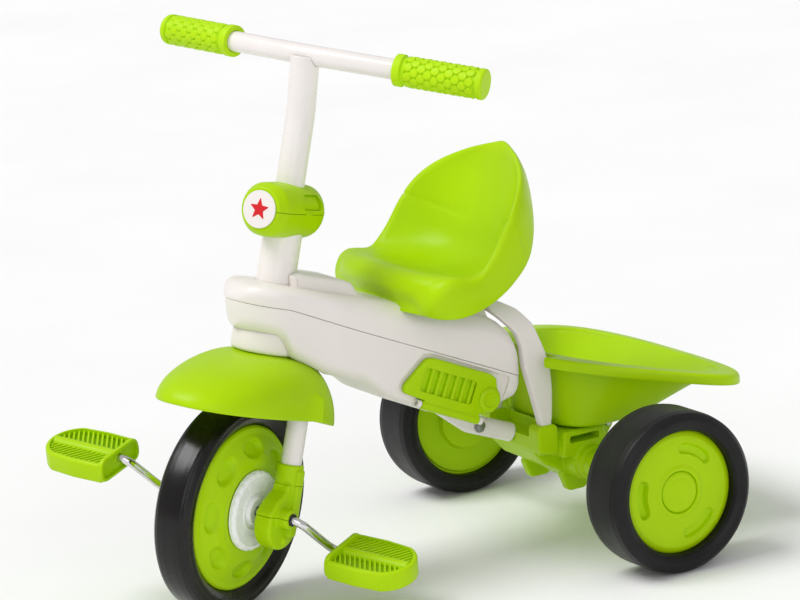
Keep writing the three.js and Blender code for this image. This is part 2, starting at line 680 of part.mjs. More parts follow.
function footrests() {
  for (const [name, side] of [['left', 1], ['right', -1]]) {
    let panel = solid(sideways(FOOT_PANEL, FOOT_X, FOOT_X + 9));
    for (let i = 0; i < FOOT_SLOTS; i += 1) {
      panel = panel.subtract(solid(new THREE.BoxGeometry(5, 5, 18).translate(FOOT_X + 9, i * 10 - 32, 3)));
    }
    panel = panel.add(solid(rodX(13, FOOT_X, FOOT_X + 12, 16).translate(0, 50, 0)))
      .add(hingeRod(HINGE.barrel, HINGE.from, HINGE.to))
      .subtract(hingeRod(HINGE.pin + GAP, -60, 80));
    const placed = (body) => toSide(geometryOf(sided(body, side)));
    add(tricycle, `footrest_${name}`, placed(panel), GREEN);
    const reach = HINGE.ear + 1;
    const pin = hingeRod(HINGE.pin, HINGE.from - reach, HINGE.to + reach);
    add(tricycle, `footrest_pin_${name}`, placed(pin), STEEL);
  }
}

// ---------- rear hoop, axle housing and axle ----------
// An arch in (X, Z): straight legs from z0 up to rounded shoulders and a level top.
function arch(half, top, corner, z0) {
  return [
    v2(half, z0), ...arc(half - corner, top - corner, corner, 0, 90, 6),
    ...arc(-half + corner, top - corner, corner, 90, 180, 6), v2(-half, z0),
  ];
}

function rearHoop() {
  const side = [
    v2(-53, 138), v2(-39, 138), v2(-35, 170), v2(-35, 200), v2(-43, 224), v2(-54, 252), v2(-70, 272),
    v2(-98, 284), v2(-98, 270), v2(-90, 261.5), v2(-77.8, 248), v2(-69.5, 231), v2(-69.5, 214), v2(-60, 170),
  ];
  const hoop = solid(lengthways(arch(57, 282, 42, 130), -120, 0))
    .subtract(solid(lengthways(arch(43.5, 270, 32, 120), -121, 1)))
    .intersect(solid(sideways(side, -70, 70)));
  add(tricycle, 'rear_hoop', hoop, WHITE);
}

const HOUSING_HALF = 44;
const BUCKET_PIN = { y: 40, z: 119, r: 3 };

function axleHousing() {
  const core = [
    v2(-20, 74), v2(-8, 66), v2(8, 55), ...arc(4, 66, 14, -60, 10, 4), v2(24, 74), v2(27, 90), v2(22, 108),
    v2(6, 117), v2(-34, 119), v2(-58, 112), v2(-58, 104), v2(-44, 88),
  ];
  const lobe = [v2(-60, 106), v2(-34, 100), v2(-34, 136), v2(-60, 136)];
  const lug = [v2(6, 96), v2(25, 86), ...arc(BUCKET_PIN.y, BUCKET_PIN.z, 7.5, -60, 120, 6), v2(6, 117)];
  let housing = solid(sideways(core, -HOUSING_HALF, HOUSING_HALF)).add(solid(sideways(lobe, -60, 60)));
  for (const x of [-44, 38]) housing = housing.add(solid(sideways(lug, x, x + 6)));
  housing = housing
    .subtract(solid(rodX(REAR_AXLE_R + GAP, -80, 80, 16).translate(0, 0, REAR_R)))
    .subtract(solid(rodX(BUCKET_PIN.r + GAP, -80, 80, 12).translate(0, BUCKET_PIN.y, BUCKET_PIN.z)))
    .subtract(solid(sideways([v2(-62, 122.5), v2(-38, 122.5), v2(-38, 145), v2(-62, 145)], -40, 40)))
    .subtract(solid(bent([v3(0, -57.5, 119.4), v3(0, -80, 128.3), v3(0, -112, 141)], 11.6, 4)));
  add(tricycle, 'axle_housing', housing, GREEN);
  add(tricycle, 'rear_axle', rodX(REAR_AXLE_R, -233, 233, 16).translate(0, 0, REAR_R), STEEL);
  for (const [name, side] of [['left', 1], ['right', -1]]) {
    const sleeve = ringX(REAR_AXLE_R + GAP, 9, HOUSING_HALF + GAP, 187.5, 16).rotateY(side > 0 ? 0 : Math.PI);
    add(tricycle, `axle_sleeve_${name}`, sleeve.translate(0, 0, REAR_R), PAINT);
  }
  const bolt = solid(rodX(5.5, 11, 15, 6)).add(solid(rodX(2.8, -14, 11.5, 10)));
  add(tricycle, 'spine_bolt', bolt.translate([0, BOLT_Y, BOLT_Z]), STEEL);
}

// ---------- rear wheels ----------
const REAR_SLOTS = 3;

function rearWheel(name, side) {
  const w = REAR_HALF_WIDTH;
  const seat = REAR_RIM_R + 2 * GAP;
  const tyre = [
    [seat, -26], [70, -30], [78, -w], [83.5, -w + 3], [REAR_R, -w + 10],
    [REAR_R, w - 10], [83.5, w - 3], [78, w], [70, 30], [seat, 26],
  ];
  const lining = REAR_RIM_R - WALL;
  const outerDisc = [
    [8, -14], [8, 18], [23, 18], [23, 21], [27, 22], [52, 21.5], [REAR_RIM_R, 18.5], [REAR_RIM_R, -18],
    [lining, -18], [lining, 16.5], [50, 18], [11, 15], [11, -14],
  ];
  const innerDisc = [
    [5.5, -27.5], [34, -27.5], [36, -19.5], [lining - GAP, -19], [lining - GAP, -15.5], [14, -15.5],
    [14, -14.4], [5.5, -14.4],
  ];
  const group = new THREE.Group();
  group.position.set(side * REAR_MID_X, 0, REAR_R);
  if (side < 0) group.rotation.z = Math.PI;
  tricycle.add(group);
  add(group, `rear_tyre_${name}`, turnedX(tyre, 32), TYRE);
  let disc = solid(turnedX(outerDisc));
  for (let i = 0; i < REAR_SLOTS; i += 1) {
    const slot = [...arc(0, 0, 51, -28, 28, 4), ...arc(0, 0, 41, 28, -28, 4)];
    disc = disc.subtract(solid(sideways(slot, 19.5, 30).rotateX(Math.PI + 2 * Math.PI * i / REAR_SLOTS)));
  }
  add(group, `rear_disc_${name}`, disc, GREEN);
  add(group, `rear_hub_${name}`, turnedX(innerDisc), GREEN);
  add(group, `rear_cap_${name}`, rodX(22.6, 18.3, 21.6, 24), GREEN);
}

// ---------- bucket ----------
const BUCKET = { half: 152, taper: 0.32, front: -67, rear: 176, rimZ: 219, fall: 0.2, floor: 128, rim: 12 };
const rimZ = (y) => BUCKET.rimZ - BUCKET.fall * (y + 65);

// A ring in plan, wider towards the rear, with every point at the rim's height.
function bucketOutline(half, front, rear, taper) {
  const count = 28;
  return Array.from({ length: count }, (_, i) => {
    const a = -Math.PI / 2 + (i + 0.5) / count * Math.PI * 2;
    const s = withSign(Math.sin(a), 0.7);
    const x = half * (1 + taper * s) * withSign(Math.cos(a), 0.7);
    const y = (front + rear) / 2 + (rear - front) / 2 * s;
    return v3(x, y, rimZ(y));
  });
}

// One level of the tub, from its floor (t = 0) to its mouth (t = 1), moved in by d.
function tubLevel(t, d, floor) {
  const { lerp } = THREE.MathUtils;
  const half = lerp(80, BUCKET.half - 20, t ** 0.8);
  const rear = lerp(72, BUCKET.rear - 16, t);
  const level = bucketOutline(half - d, lerp(-30, -31, t) + d, rear - d, BUCKET.taper * t);
  return level.map((p) => v3(p.x, p.y, lerp(floor, p.z, t)));
}

function bucket() {
  const b = BUCKET;
  const levels = [0, 0.4, 1];
  const outer = levels.map((t) => tubLevel(t, 0, b.floor));
  const inner = levels.map((t) => tubLevel(t, WALL, b.floor + WALL));
  const raised = (points, dz) => points.map((p) => v3(p.x, p.y, p.z + dz));
  const lip = bucketOutline(b.half, b.front, b.rear, b.taper);
  const under = bucketOutline(b.half - WALL, b.front + WALL, b.rear - WALL, b.taper);
  const flange = solid(loft([raised(lip, -b.rim), lip]))
    .subtract(solid(loft([raised(under, -20), raised(under, -WALL)])));
  const notch = new THREE.BoxGeometry(142, 60, 200).translate(0, -62, 200);
  const bossArc = arc(BUCKET_PIN.y, BUCKET_PIN.z, 7, 180, 360, 6);
  const boss = sideways([v2(31, b.floor + 1), ...bossArc, v2(49, b.floor + 1)], -37, 37);
  const tub = solid(loft(outer)).add(flange).add(solid(boss))
    .subtract(solid(loft([...inner, raised(inner.at(-1), 30)])))
    .subtract(solid(notch))
    .subtract(solid(rodX(BUCKET_PIN.r + GAP, -80, 80, 12).translate(0, BUCKET_PIN.y, BUCKET_PIN.z)));
  add(tricycle, 'bucket', tub, GREEN);
  const pin = rodX(BUCKET_PIN.r, -46, 46, 12).translate(0, BUCKET_PIN.y, BUCKET_PIN.z);
  add(tricycle, 'bucket_pin', pin, STEEL);
}

// ---------- seat ----------
const SEAT_LINE = new THREE.CatmullRomCurve3([
  v3(0, -213, 306), v3(0, -219, 321), v3(0, -213, 334), v3(0, -198, 337), v3(0, -172, 328), v3(0, -138, 320),
  v3(0, -108, 320), v3(0, -86, 333), v3(0, -74, 358), v3(0, -64, 388), v3(0, -54, 418), v3(0, -46, 441),
]);

// A point of the seat, u across from the right side to the left and v along SEAT_LINE.
function seatPoint(u, v, under) {
  const { smoothstep } = THREE.MathUtils;
  const p = SEAT_LINE.getPointAt(v);
  const tangent = SEAT_LINE.getTangentAt(v);
  const normal = v3(0, -tangent.z, tangent.y);
  const across = u * 2 - 1;
  const back = smoothstep(v, 0.42, 0.62);
  const high = smoothstep(v, 0.6, 0.9);
  const front = 1 - smoothstep(v, 0.05, 0.3);
  const crown = v > 0.65 ? Math.sqrt(Math.max(1 - ((v - 0.65) / 0.352) ** 2, 0)) : 1;
  const edge = Math.abs(across) ** 4;
  const skirt = Math.max(smoothstep(Math.abs(across), 0.72, 1), smoothstep(v, 0.9, 1) * 0.6);
  const depth = under ? SEAT_SKIN + SEAT_SKIRT * skirt * (1 - 0.6 * front) : 0;
  const x = across * SEAT_HALF * crown * (under ? 1 - 0.08 * skirt : 1) * (1 - 0.05 * front);
  const y = p.y - normal.y * depth - back * (40 - 18 * high) * edge * crown + front * 26 * edge;
  const z = p.z - normal.z * depth + (1 - back) * 5 * edge - front * 14 * edge;
  return v3(x, y, z);
}

function seat() {
  const shell = slab((u, v) => seatPoint(u, v, false), (u, v) => seatPoint(u, v, true), 10, 18);
  add(tricycle, 'seat', shell, GREEN);
}

// The bracket that slides along the body's level rail with the seat.
function seatMount() {
  const [y0, y1] = [-192, -112];
  const low = RAIL_Z + GAP;
  const shoe = [v2(y0, low), v2(y1, low), v2(y1, 306), v2(y0, 313)];
  const block = (x0, x1, from, z0) => {
    const outline = [v2(from, z0), v2(y1, z0), v2(y1, low + 1), v2(from, low + 1)];
    return solid(sideways(outline, x0, x1));
  };
  const bracket = solid(sideways(shoe, -28, 28)).add(block(-12, 12, y1 - 6, 288))
    .add(block(24.5, 28, -166, 291)).add(block(-28, -24.5, -166, 291));
  add(tricycle, 'seat_bracket', bracket, NYLON);
  add(tricycle, 'seat_knob', rod(7, 0, 14, 14).rotateX(-Math.PI / 2).translate(0, y1 + GAP, 297), NYLON);
}

// ---------- assembly ----------
handlebar();
grips();
collar();
forkFrame();
fender();
axleBlocks();
frontWheel();
crank();
pedals();
headBearing();
bodyShells();
footrests();
rearHoop();
axleHousing();
rearWheel('left', 1);
rearWheel('right', -1);
bucket();
seat();
seatMount();

export default tricycle;
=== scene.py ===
# A children's tricycle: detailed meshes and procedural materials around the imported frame.
# Shapes are drawn in millimetres and placed in metres by four frames: BASE (rear axle above the floor),
# HEAD (steering axis, not turned), FORK (steering axis, turned) and HUB (front wheel).
import json
import math

import bmesh
import bpy
import numpy as np
from mathutils import Matrix, Vector


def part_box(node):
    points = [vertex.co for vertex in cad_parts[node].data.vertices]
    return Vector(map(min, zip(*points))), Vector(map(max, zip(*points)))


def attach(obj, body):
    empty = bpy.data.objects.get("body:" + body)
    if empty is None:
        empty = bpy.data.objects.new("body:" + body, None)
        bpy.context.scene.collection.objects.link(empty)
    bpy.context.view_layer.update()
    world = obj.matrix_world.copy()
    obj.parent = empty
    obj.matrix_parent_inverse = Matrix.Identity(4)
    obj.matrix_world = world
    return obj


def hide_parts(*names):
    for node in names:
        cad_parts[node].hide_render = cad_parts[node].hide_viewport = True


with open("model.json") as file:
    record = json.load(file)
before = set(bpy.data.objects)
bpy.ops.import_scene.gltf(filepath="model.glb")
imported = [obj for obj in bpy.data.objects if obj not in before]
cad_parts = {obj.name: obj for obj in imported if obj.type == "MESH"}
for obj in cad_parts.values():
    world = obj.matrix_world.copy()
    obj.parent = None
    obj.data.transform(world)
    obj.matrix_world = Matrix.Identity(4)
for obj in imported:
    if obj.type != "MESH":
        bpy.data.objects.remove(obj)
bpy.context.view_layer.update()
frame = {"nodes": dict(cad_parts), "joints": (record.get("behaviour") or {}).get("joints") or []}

MM = 0.001
PI = math.pi
joint = {j["name"]: j for j in frame["joints"]}

# ---------- places taken from the frame ----------
axle_low, axle_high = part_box("rear_axle")
AXLE_Y = (axle_low.y + axle_high.y) / 2 / MM
REAR_R = (axle_low.z + axle_high.z) / 2 / MM
STEER_AXIS = Vector(joint["steering"]["axis"]).normalized()
CRANK_AXIS = Vector(joint["front_wheel_spin"]["axis"]).normalized()


def frame_of(x_axis, z_axis, origin):
    """A matrix from millimetres in a local frame to metres in the scene."""
    y_axis = z_axis.cross(x_axis)
    turn = Matrix((x_axis, y_axis, z_axis)).transposed().to_4x4()
    return Matrix.Translation(Vector(origin)) @ turn @ Matrix.Scale(MM, 4)


BASE = Matrix.Translation((0, AXLE_Y * MM, 0)) @ Matrix.Scale(MM, 4)
HEAD = frame_of(Vector((1, 0, 0)), STEER_AXIS, joint["steering"]["pos_m"])
FORK = frame_of(CRANK_AXIS, STEER_AXIS, joint["steering"]["pos_m"])
HUB = frame_of(CRANK_AXIS, STEER_AXIS, joint["front_wheel_spin"]["pos_m"])
MIRROR = Matrix.Scale(-1, 4, (1, 0, 0))
HERE = Matrix.Identity(4)
SIDES = ((1, "left", HERE), (-1, "right", MIRROR))


def at(x, y, z):
    return Matrix.Translation((x, y, z))


def turned(degrees, axis):
    return Matrix.Rotation(math.radians(degrees), 4, axis)


def unit(vectors):
    """Vectors, or rows of them, scaled to length one."""
    return vectors / np.linalg.norm(vectors, axis=-1, keepdims=True)


# ---------- outlines and routes ----------
def fillet(points, radius, steps=4, closed=True):
    """The same polyline with its corners rounded; radius is one number or one for each point."""
    points = [np.array(p, float) for p in points]
    radii = [radius] * len(points) if np.isscalar(radius) else list(radius)
    out = []
    for i, p in enumerate(points):
        if radii[i] <= 0 or (not closed and i in (0, len(points) - 1)):
            out.append(p)
            continue
        before = points[i - 1] - p
        after = points[(i + 1) % len(points)] - p
        lb, la = np.linalg.norm(before), np.linalg.norm(after)
        before, after = before / lb, after / la
        half = math.acos(max(-1, min(1, float(before @ after)))) / 2
        cut = min(radii[i] / max(math.tan(half), 1e-6), 0.48 * lb, 0.48 * la)
        a, b = p + before * cut, p + after * cut
        for k in range(steps + 1):
            t = k / steps
            out.append(a * (1 - t) ** 2 + 2 * p * t * (1 - t) + b * t * t)
    return np.array(out)


def arc(cx, cy, r, start, end, steps=12):
    """Points on an arc, in degrees, both ends included."""
    turn = np.radians(np.linspace(start, end, steps + 1))
    return [(cx + r * math.cos(t), cy + r * math.sin(t)) for t in turn]


def rect(x0, y0, x1, y1):
    return [(x0, y0), (x1, y0), (x1, y1), (x0, y1)]


def inset(outline, d):
    """Moves an anticlockwise outline inwards by d."""
    outline = np.asarray(outline, float)
    a = outline - np.roll(outline, 1, 0)
    b = np.roll(outline, -1, 0) - outline
    a /= np.linalg.norm(a, axis=1)[:, None] + 1e-12
    b /= np.linalg.norm(b, axis=1)[:, None] + 1e-12
    na, nb = np.stack([-a[:, 1], a[:, 0]], 1), np.stack([-b[:, 1], b[:, 0]], 1)
    scale = d / np.maximum(1 + (na * nb).sum(1), 0.3)
    out = outline + (na + nb) * scale[:, None]
    sides = np.roll(outline, -1, 0) - outline
    for _ in range(8):                            # corners tighter than d would turn inside out
        reversed_side = ((np.roll(out, -1, 0) - out) * sides).sum(1) < -1e-9
        if not reversed_side.any():
            break
        for i in np.flatnonzero(reversed_side & ~np.roll(reversed_side, 1)):
            run = [i]
            while reversed_side[run[-1]] and len(run) < len(out):
                run.append((run[-1] + 1) % len(out))
            out[run] = (out[run[0]] + out[run[-1]]) / 2
    return out


def level(line, x):
    """Steps along a polyline of (x, height) points."""
    return np.interp(x, *zip(*line))


def smoothstep(x, low, high):
    t = np.clip((np.asarray(x, float) - low) / (high - low), 0, 1)
    return t * t * (3 - 2 * t)


# ---------- meshes as (points, faces) ----------
def loft(rings, closed=False):
    """Joins rings of the same number of points, with end caps or into a closed loop of rings."""
    count, total = len(rings[0]), len(rings)
    points = np.concatenate([np.asarray(r, float) for r in rings])
    faces = []
    for k in range(total if closed else total - 1):
        here, there = k * count, (k + 1) % total * count
        faces += [(here + i, here + (i + 1) % count, there + (i + 1) % count, there + i) for i in range(count)]
    if not closed:
        faces += [tuple(range(count))[::-1], tuple(range((total - 1) * count, total * count))]
    return points, faces


def lathe(profile, count=96, shape=None):
    """Turns a closed profile of (radius, x) about X. shape(r, angle, x) gives moves along X and outwards."""
    angle = np.linspace(0, 2 * PI, count, endpoint=False)
    rings = []
    for r, x in np.asarray(profile, float):
        dx, dr = shape(r, angle, x) if shape is not None and r > 0 else (0, 0)
        rings.append(np.stack([x + dx + 0 * angle, (r + dr) * np.cos(angle), (r + dr) * np.sin(angle)], 1))
    return merged(*loft(rings, closed=True))


def merged(points, faces, limit=1e-4):
    """Joins points that coincide and drops faces that collapse."""
    bm = bmesh.new()
    verts = [bm.verts.new(p) for p in points]
    for face in faces:
        try:
            bm.faces.new([verts[i] for i in face])
        except ValueError:
            pass
    bmesh.ops.remove_doubles(bm, verts=bm.verts, dist=limit)
    bmesh.ops.dissolve_degenerate(bm, edges=bm.edges, dist=limit / 2)
    bm.verts.index_update()
    out = np.array([v.co for v in bm.verts])
    sides = [tuple(v.index for v in f.verts) for f in bm.faces]
    bm.free()
    return out, sides


def dense(profile, step):
    """Adds points so that no side of a closed profile is longer than step."""
    profile = np.asarray(profile, float)
    out = []
    for a, b in zip(profile, np.roll(profile, -1, 0)):
        parts = max(1, int(math.ceil(np.linalg.norm(b - a) / step)))
        out += [a + (b - a) * k / parts for k in range(parts)]
    return np.array(out)


def sweep(path, radius, sides=40, tip=0.8):
    """A round bar along a 3-D path, its ends slightly rounded."""
    path = np.asarray(path, float)
    tangent = unit(np.gradient(path, axis=0))
    side = unit(np.cross(tangent[0], (0.0, 0.0, 1.0) if abs(tangent[0][2]) < 0.9 else (1.0, 0.0, 0.0)))
    angle = np.linspace(0, 2 * PI, sides, endpoint=False)
    rings = []

    def ring(p, t, r):
        return p + r * (np.cos(angle)[:, None] * side + np.sin(angle)[:, None] * np.cross(t, side))

    for i, (p, t) in enumerate(zip(path, tangent)):
        side = unit(side - t * (side @ t))
        if i == 0:
            rings += [ring(p, t, radius - tip), ring(p + t * tip, t, radius)]
        elif i == len(path) - 1:
            rings += [ring(p - t * tip, t, radius), ring(p, t, radius - tip)]
        else:
            rings.append(ring(p, t, radius))
    return loft(rings)


def rod(start, end, radius, sides=40, tip=0.8):
    """A straight round bar."""
    return sweep(np.linspace(start, end, 3), radius, sides, tip)


def prism(outline, low, high, edge=1.0, axis="x", steps=3):
    """An outline pulled from low to high along an axis, with rounded rims. Axis x draws in (y, z)."""
    outline = np.asarray(outline, float)
    if area(outline) < 0:
        outline = outline[::-1]
    levels = [(low + edge * (1 - math.sin(PI / 2 * k / steps)), edge * (1 - math.cos(PI / 2 * k / steps)))
              for k in range(steps, -1, -1)]
    levels += [(low + high - z, d) for z, d in levels[::-1]]
    rings = []
    for z, d in levels:
        plan = inset(outline, d)
        column = np.full(len(plan), z)
        order = {"x": (column, plan[:, 0], plan[:, 1]), "y": (plan[:, 0], column, plan[:, 1]),
                 "z": (plan[:, 0], plan[:, 1], column)}[axis]
        rings.append(np.stack(order, 1))
    return loft(rings)


def area(outline):
    x, y = outline[:, 0], outline[:, 1]
    return float((x * np.roll(y, -1) - y * np.roll(x, -1)).sum()) / 2


def box_mesh(low, high, edge=0.8):
    (x0, y0, z0), (x1, y1, z1) = low, high
    outline = fillet(rect(y0, z0, y1, z1), edge, 3)
    return prism(outline, x0, x1, edge)


def moved(mesh, matrix):
    """A mesh with its points carried by a 4x4 matrix."""
    points, faces = mesh
    turn = np.array(matrix.to_3x3())
    out = np.asarray(points) @ turn.T + np.array(matrix.translation)
    if matrix.to_3x3().determinant() < 0:
        faces = [f[::-1] for f in faces]
    return out, faces


def joined(*meshes):
    points, faces, start = [], [], 0
    for p, f in meshes:
        points.append(np.asarray(p))
        faces += [tuple(i + start for i in face) for face in f]
        start += len(p)
    return np.concatenate(points), faces


# ---------- Blender objects ----------
def to_object(name, mesh, matrix=HERE):
    points, faces = moved(mesh, matrix)
    data = bpy.data.meshes.new(name)
    data.from_pydata(points.tolist(), [], faces)
    bm = bmesh.new()
    bm.from_mesh(data)
    bmesh.ops.recalc_face_normals(bm, faces=bm.faces)
    bm.to_mesh(data)
    bm.free()
    obj = bpy.data.objects.new(name, data)
    bpy.context.scene.collection.objects.link(obj)
    return obj


def bake(obj):
    """Applies an object's modifiers to its mesh."""
    evaluated = obj.evaluated_get(bpy.context.evaluated_depsgraph_get())
    data = bpy.data.meshes.new_from_object(evaluated)
    obj.modifiers.clear()
    obj.data = data
    return obj


def taken(obj):
    """An object's mesh as points and faces; the object is removed."""
    mesh = np.array([v.co for v in obj.data.vertices]), [tuple(p.vertices) for p in obj.data.polygons]
    bpy.data.objects.remove(obj)
    return mesh


def cut(obj, mesh, matrix, operation="DIFFERENCE"):
    """Takes a closed mesh out of an object, joins it on, or keeps what both share."""
    tool = to_object("tool", mesh, matrix)
    step = obj.modifiers.new("cut", "BOOLEAN")
    step.operation = operation
    step.solver = "MANIFOLD"
    step.object = tool
    bpy.context.view_layer.update()
    bake(obj)
    bpy.data.objects.remove(tool)
    return obj


def melt(obj, voxel, rounds=4):
    """Remeshes overlapping solids into one skin and softens its inside corners."""
    remesh = obj.modifiers.new("melt", "REMESH")
    remesh.mode = "VOXEL"
    remesh.voxel_size = voxel * MM
    smooth = obj.modifiers.new("soften", "SMOOTH")
    smooth.iterations = rounds
    smooth.factor = 0.5
    bpy.context.view_layer.update()
    return bake(obj)


def finished(obj, body, material, stands_for, angle=40):
    """Shades a piece, gives it its material and lets it ride on its body."""
    obj.data.materials.clear()
    obj.data.materials.append(material)
    obj.data.polygons.foreach_set("use_smooth", [True] * len(obj.data.polygons))
    obj.data.set_sharp_from_angle(angle=math.radians(angle))
    obj.data.update()
    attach(obj, body)
    if stands_for:
        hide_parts(*([stands_for] if isinstance(stands_for, str) else stands_for))
    return obj


def piece(name, mesh, matrix, body, material, stands_for, angle=40):
    return finished(to_object(name, mesh, matrix), body, material, stands_for, angle)


# ---------- materials ----------
def srgb(r, g, b):
    """A colour given as 0-255 screen values, in linear light."""
    def channel(v):
        v /= 255
        return v / 12.92 if v <= 0.04045 else ((v + 0.055) / 1.055) ** 2.4
    return channel(r), channel(g), channel(b), 1.0


class Nodes:
    """A material's node tree, with short ways to add and join nodes."""

    def __init__(self, name):
        self.material = bpy.data.materials.new(name)
        self.material.use_nodes = True
        self.tree = self.material.node_tree
        self.shader = self.tree.nodes["Principled BSDF"]
        self.place = self.node("ShaderNodeTexCoord", "Object", {})

    def node(self, kind, output, inputs, **values):
        """Adds a node, sets or joins its inputs and gives one of its outputs."""
        node = self.tree.nodes.new(kind)
        for key, value in values.items():
            setattr(node, key, value)
        for key, value in inputs.items():
            if isinstance(value, bpy.types.NodeSocket):
                self.tree.links.new(value, node.inputs[key])
            else:
                node.inputs[key].default_value = value
        return node.outputs[output]

    def drive(self, **values):
        """Links values to the shader's sockets."""
        for key, value in values.items():
            self.tree.links.new(value, self.shader.inputs[key.replace("_", " ")])

    def fix(self, **values):
        """Sets constants on the shader's own sockets."""
        for key, number in values.items():
            self.shader.inputs[key.replace("_", " ")].default_value = number

    def noise(self, scale, detail=3.0, rough=0.5, stretch=None):
        place = self.place
        if stretch is not None:
            place = self.node("ShaderNodeMapping", "Vector", {"Scale": stretch, "Vector": place})
        inputs = {"Scale": scale, "Detail": detail, "Roughness": rough, "Vector": place}
        return self.node("ShaderNodeTexNoise", "Fac", inputs)

    def tone(self, value, colour, low, high):
        """A colour that drifts between two brightnesses."""
        node = self.tree.nodes.new("ShaderNodeValToRGB")
        for element, position, factor in zip(node.color_ramp.elements, (0.3, 0.7), (low, high)):
            element.position, element.color = position, tuple(c * factor for c in colour[:3]) + (1.0,)
        self.tree.links.new(value, node.inputs["Fac"])
        return node.outputs["Color"]

    def spread(self, value, low, high, a=0.3, b=0.7):
        inputs = {"From Min": a, "From Max": b, "To Min": low, "To Max": high, "Value": value}
        return self.node("ShaderNodeMapRange", "Result", inputs)

    def mix(self, factor, first, second):
        return self.node("ShaderNodeMix", "Result", {"Factor": factor, "A": first, "B": second}, data_type="RGBA")

    def bump(self, height, strength, distance, **under):
        inputs = {"Strength": strength, "Distance": distance, "Height": height, **under}
        return self.node("ShaderNodeBump", "Normal", inputs)


def moulded(name, colour, rough, grain=0.12, drift=0.07, specular=0.5):
    """Injection-moulded plastic: slow colour drift, fine grain, patchy gloss and thin scuffs."""
    n = Nodes(name)
    tone = n.tone(n.noise(9, 3), colour, 1 - drift, 1 + drift * 0.5)
    scuff = n.spread(n.noise(60, 6, 0.65, stretch=(1, 3.5, 1)), 0, 1, 0.64, 0.72)
    gloss = {0: n.spread(n.noise(28, 4), rough - 0.05, rough + 0.06), 1: n.spread(scuff, 0, 0.09, 0, 1)}
    n.drive(Base_Color=n.mix(scuff, tone, n.tone(n.noise(300), colour, 0.93, 1.04)),
            Roughness=n.node("ShaderNodeMath", "Value", gloss, operation="ADD"),
            Normal=n.bump(n.noise(1900, 2), grain, 0.00015, Normal=n.bump(n.noise(14, 1), 0.05, 0.003)))
    n.fix(Specular_IOR_Level=specular)
    return n.material


def painted(name, colour):
    """Powder-coated steel: orange peel under a light gloss, with faint handling marks."""
    n = Nodes(name)
    n.drive(Base_Color=n.tone(n.noise(12, 3), colour, 0.96, 1.02),
            Roughness=n.spread(n.noise(45, 5, 0.6), 0.17, 0.32), Normal=n.bump(n.noise(650, 2), 0.1, 0.0003))
    n.fix(Coat_Weight=0.25, Coat_Roughness=0.12)
    return n.material


def metal(name, colour, rough, stretch):
    """Bright or plated metal with fine drawn lines and cloudy smudges."""
    n = Nodes(name)
    n.drive(Base_Color=n.tone(n.noise(30, 4), colour, 0.86, 1.05),
            Roughness=n.spread(n.noise(70, 5, 0.6), rough * 0.7, rough * 1.6),
            Normal=n.bump(n.noise(260, 3, stretch=stretch), 0.08, 0.0002))
    n.fix(Metallic=1.0)
    return n.material


def rubbery(name, colour, rough, dust, specular):
    """Moulded tyre: dark, slightly dusty in patches, with a fine pebble."""
    n = Nodes(name)
    patch = n.spread(n.noise(16, 6, 0.62), 0, 0.12, 0.45, 0.75)
    clean = n.tone(n.noise(40, 3), colour, 0.85, 1.15)
    n.drive(Base_Color=n.mix(patch, clean, n.tone(n.noise(120), dust, 0.9, 1)),
            Roughness=n.spread(n.noise(24, 5), rough - 0.07, rough + 0.09),
            Normal=n.bump(n.noise(1100, 2), 0.16, 0.0003))
    n.fix(Specular_IOR_Level=specular)
    return n.material


GREEN = moulded("green_plastic", srgb(174, 215, 0), 0.36, specular=0.15)
GRIP = moulded("grip_rubber", srgb(184, 228, 6), 0.5, grain=0.3, specular=0.2)
WHITE = moulded("white_plastic", srgb(238, 231, 228), 0.34, drift=0.02, specular=0.4)
PAINT = painted("white_paint", srgb(240, 234, 231))
FRONT_TYRE = rubbery("front_tyre", srgb(12, 9, 8), 0.24, srgb(46, 42, 40), specular=0.35)
REAR_TYRE = rubbery("rear_tyre", srgb(18, 18, 19), 0.44, srgb(62, 62, 60), specular=0.25)
HUB_GREY = moulded("hub_grey", srgb(250, 250, 252), 0.3, drift=0.03)
CHROME = metal("chrome", srgb(226, 224, 226), 0.1, (1, 1, 1))
STEEL = metal("steel", srgb(170, 170, 172), 0.3, (1, 14, 14))
NYLON = moulded("black_nylon", srgb(40, 40, 42), 0.5, grain=0.25)
RED = moulded("badge_red", srgb(214, 20, 30), 0.3, drift=0.03)


# ---------- handlebar, stem and grips ----------
BAR_Z, BAR_Y = 593, -8
BAR_R, STEM_R, STEERER_R, LEG_R, LEG_X = 11, 15.5, 21, 11, 53.4
SWEEP = math.radians(10.4)
GRIP_FROM, GRIP_TO, GRIP_R = 103, 202.5, 16.2


def make_handlebar():
    def on_bar(x):
        return (x * math.cos(SWEEP), BAR_Y + abs(x) * math.sin(SWEEP), BAR_Z)

    route = fillet([on_bar(x) for x in (6 - GRIP_TO, 0, GRIP_TO - 6)], 150, 10, closed=False)
    piece("bar", sweep(route, BAR_R, 56), FORK, "handlebar", PAINT, "handlebar_tube")
    route = fillet([(0, 0, 332), (0, 0, 530), (0, BAR_Y, BAR_Z - 1)], 120, 10, closed=False)
    stem = to_object("stem", sweep(route, STEM_R, 64), FORK)
    saddle = sweep(np.array([on_bar(-40), on_bar(0), on_bar(40)]), BAR_R + 0.2, 56)
    finished(cut(stem, saddle, FORK), "handlebar", PAINT, "upper_stem")
    for name, turn in (("left", SWEEP), ("right", PI - SWEEP)):
        place = FORK @ at(0, BAR_Y, BAR_Z) @ Matrix.Rotation(turn, 4, "Z") @ at(GRIP_FROM, 0, 0)
        piece(f"scaled_grip_{name}", grip_mesh(), place, "handlebar", GRIP, f"grip_{name}", 60)


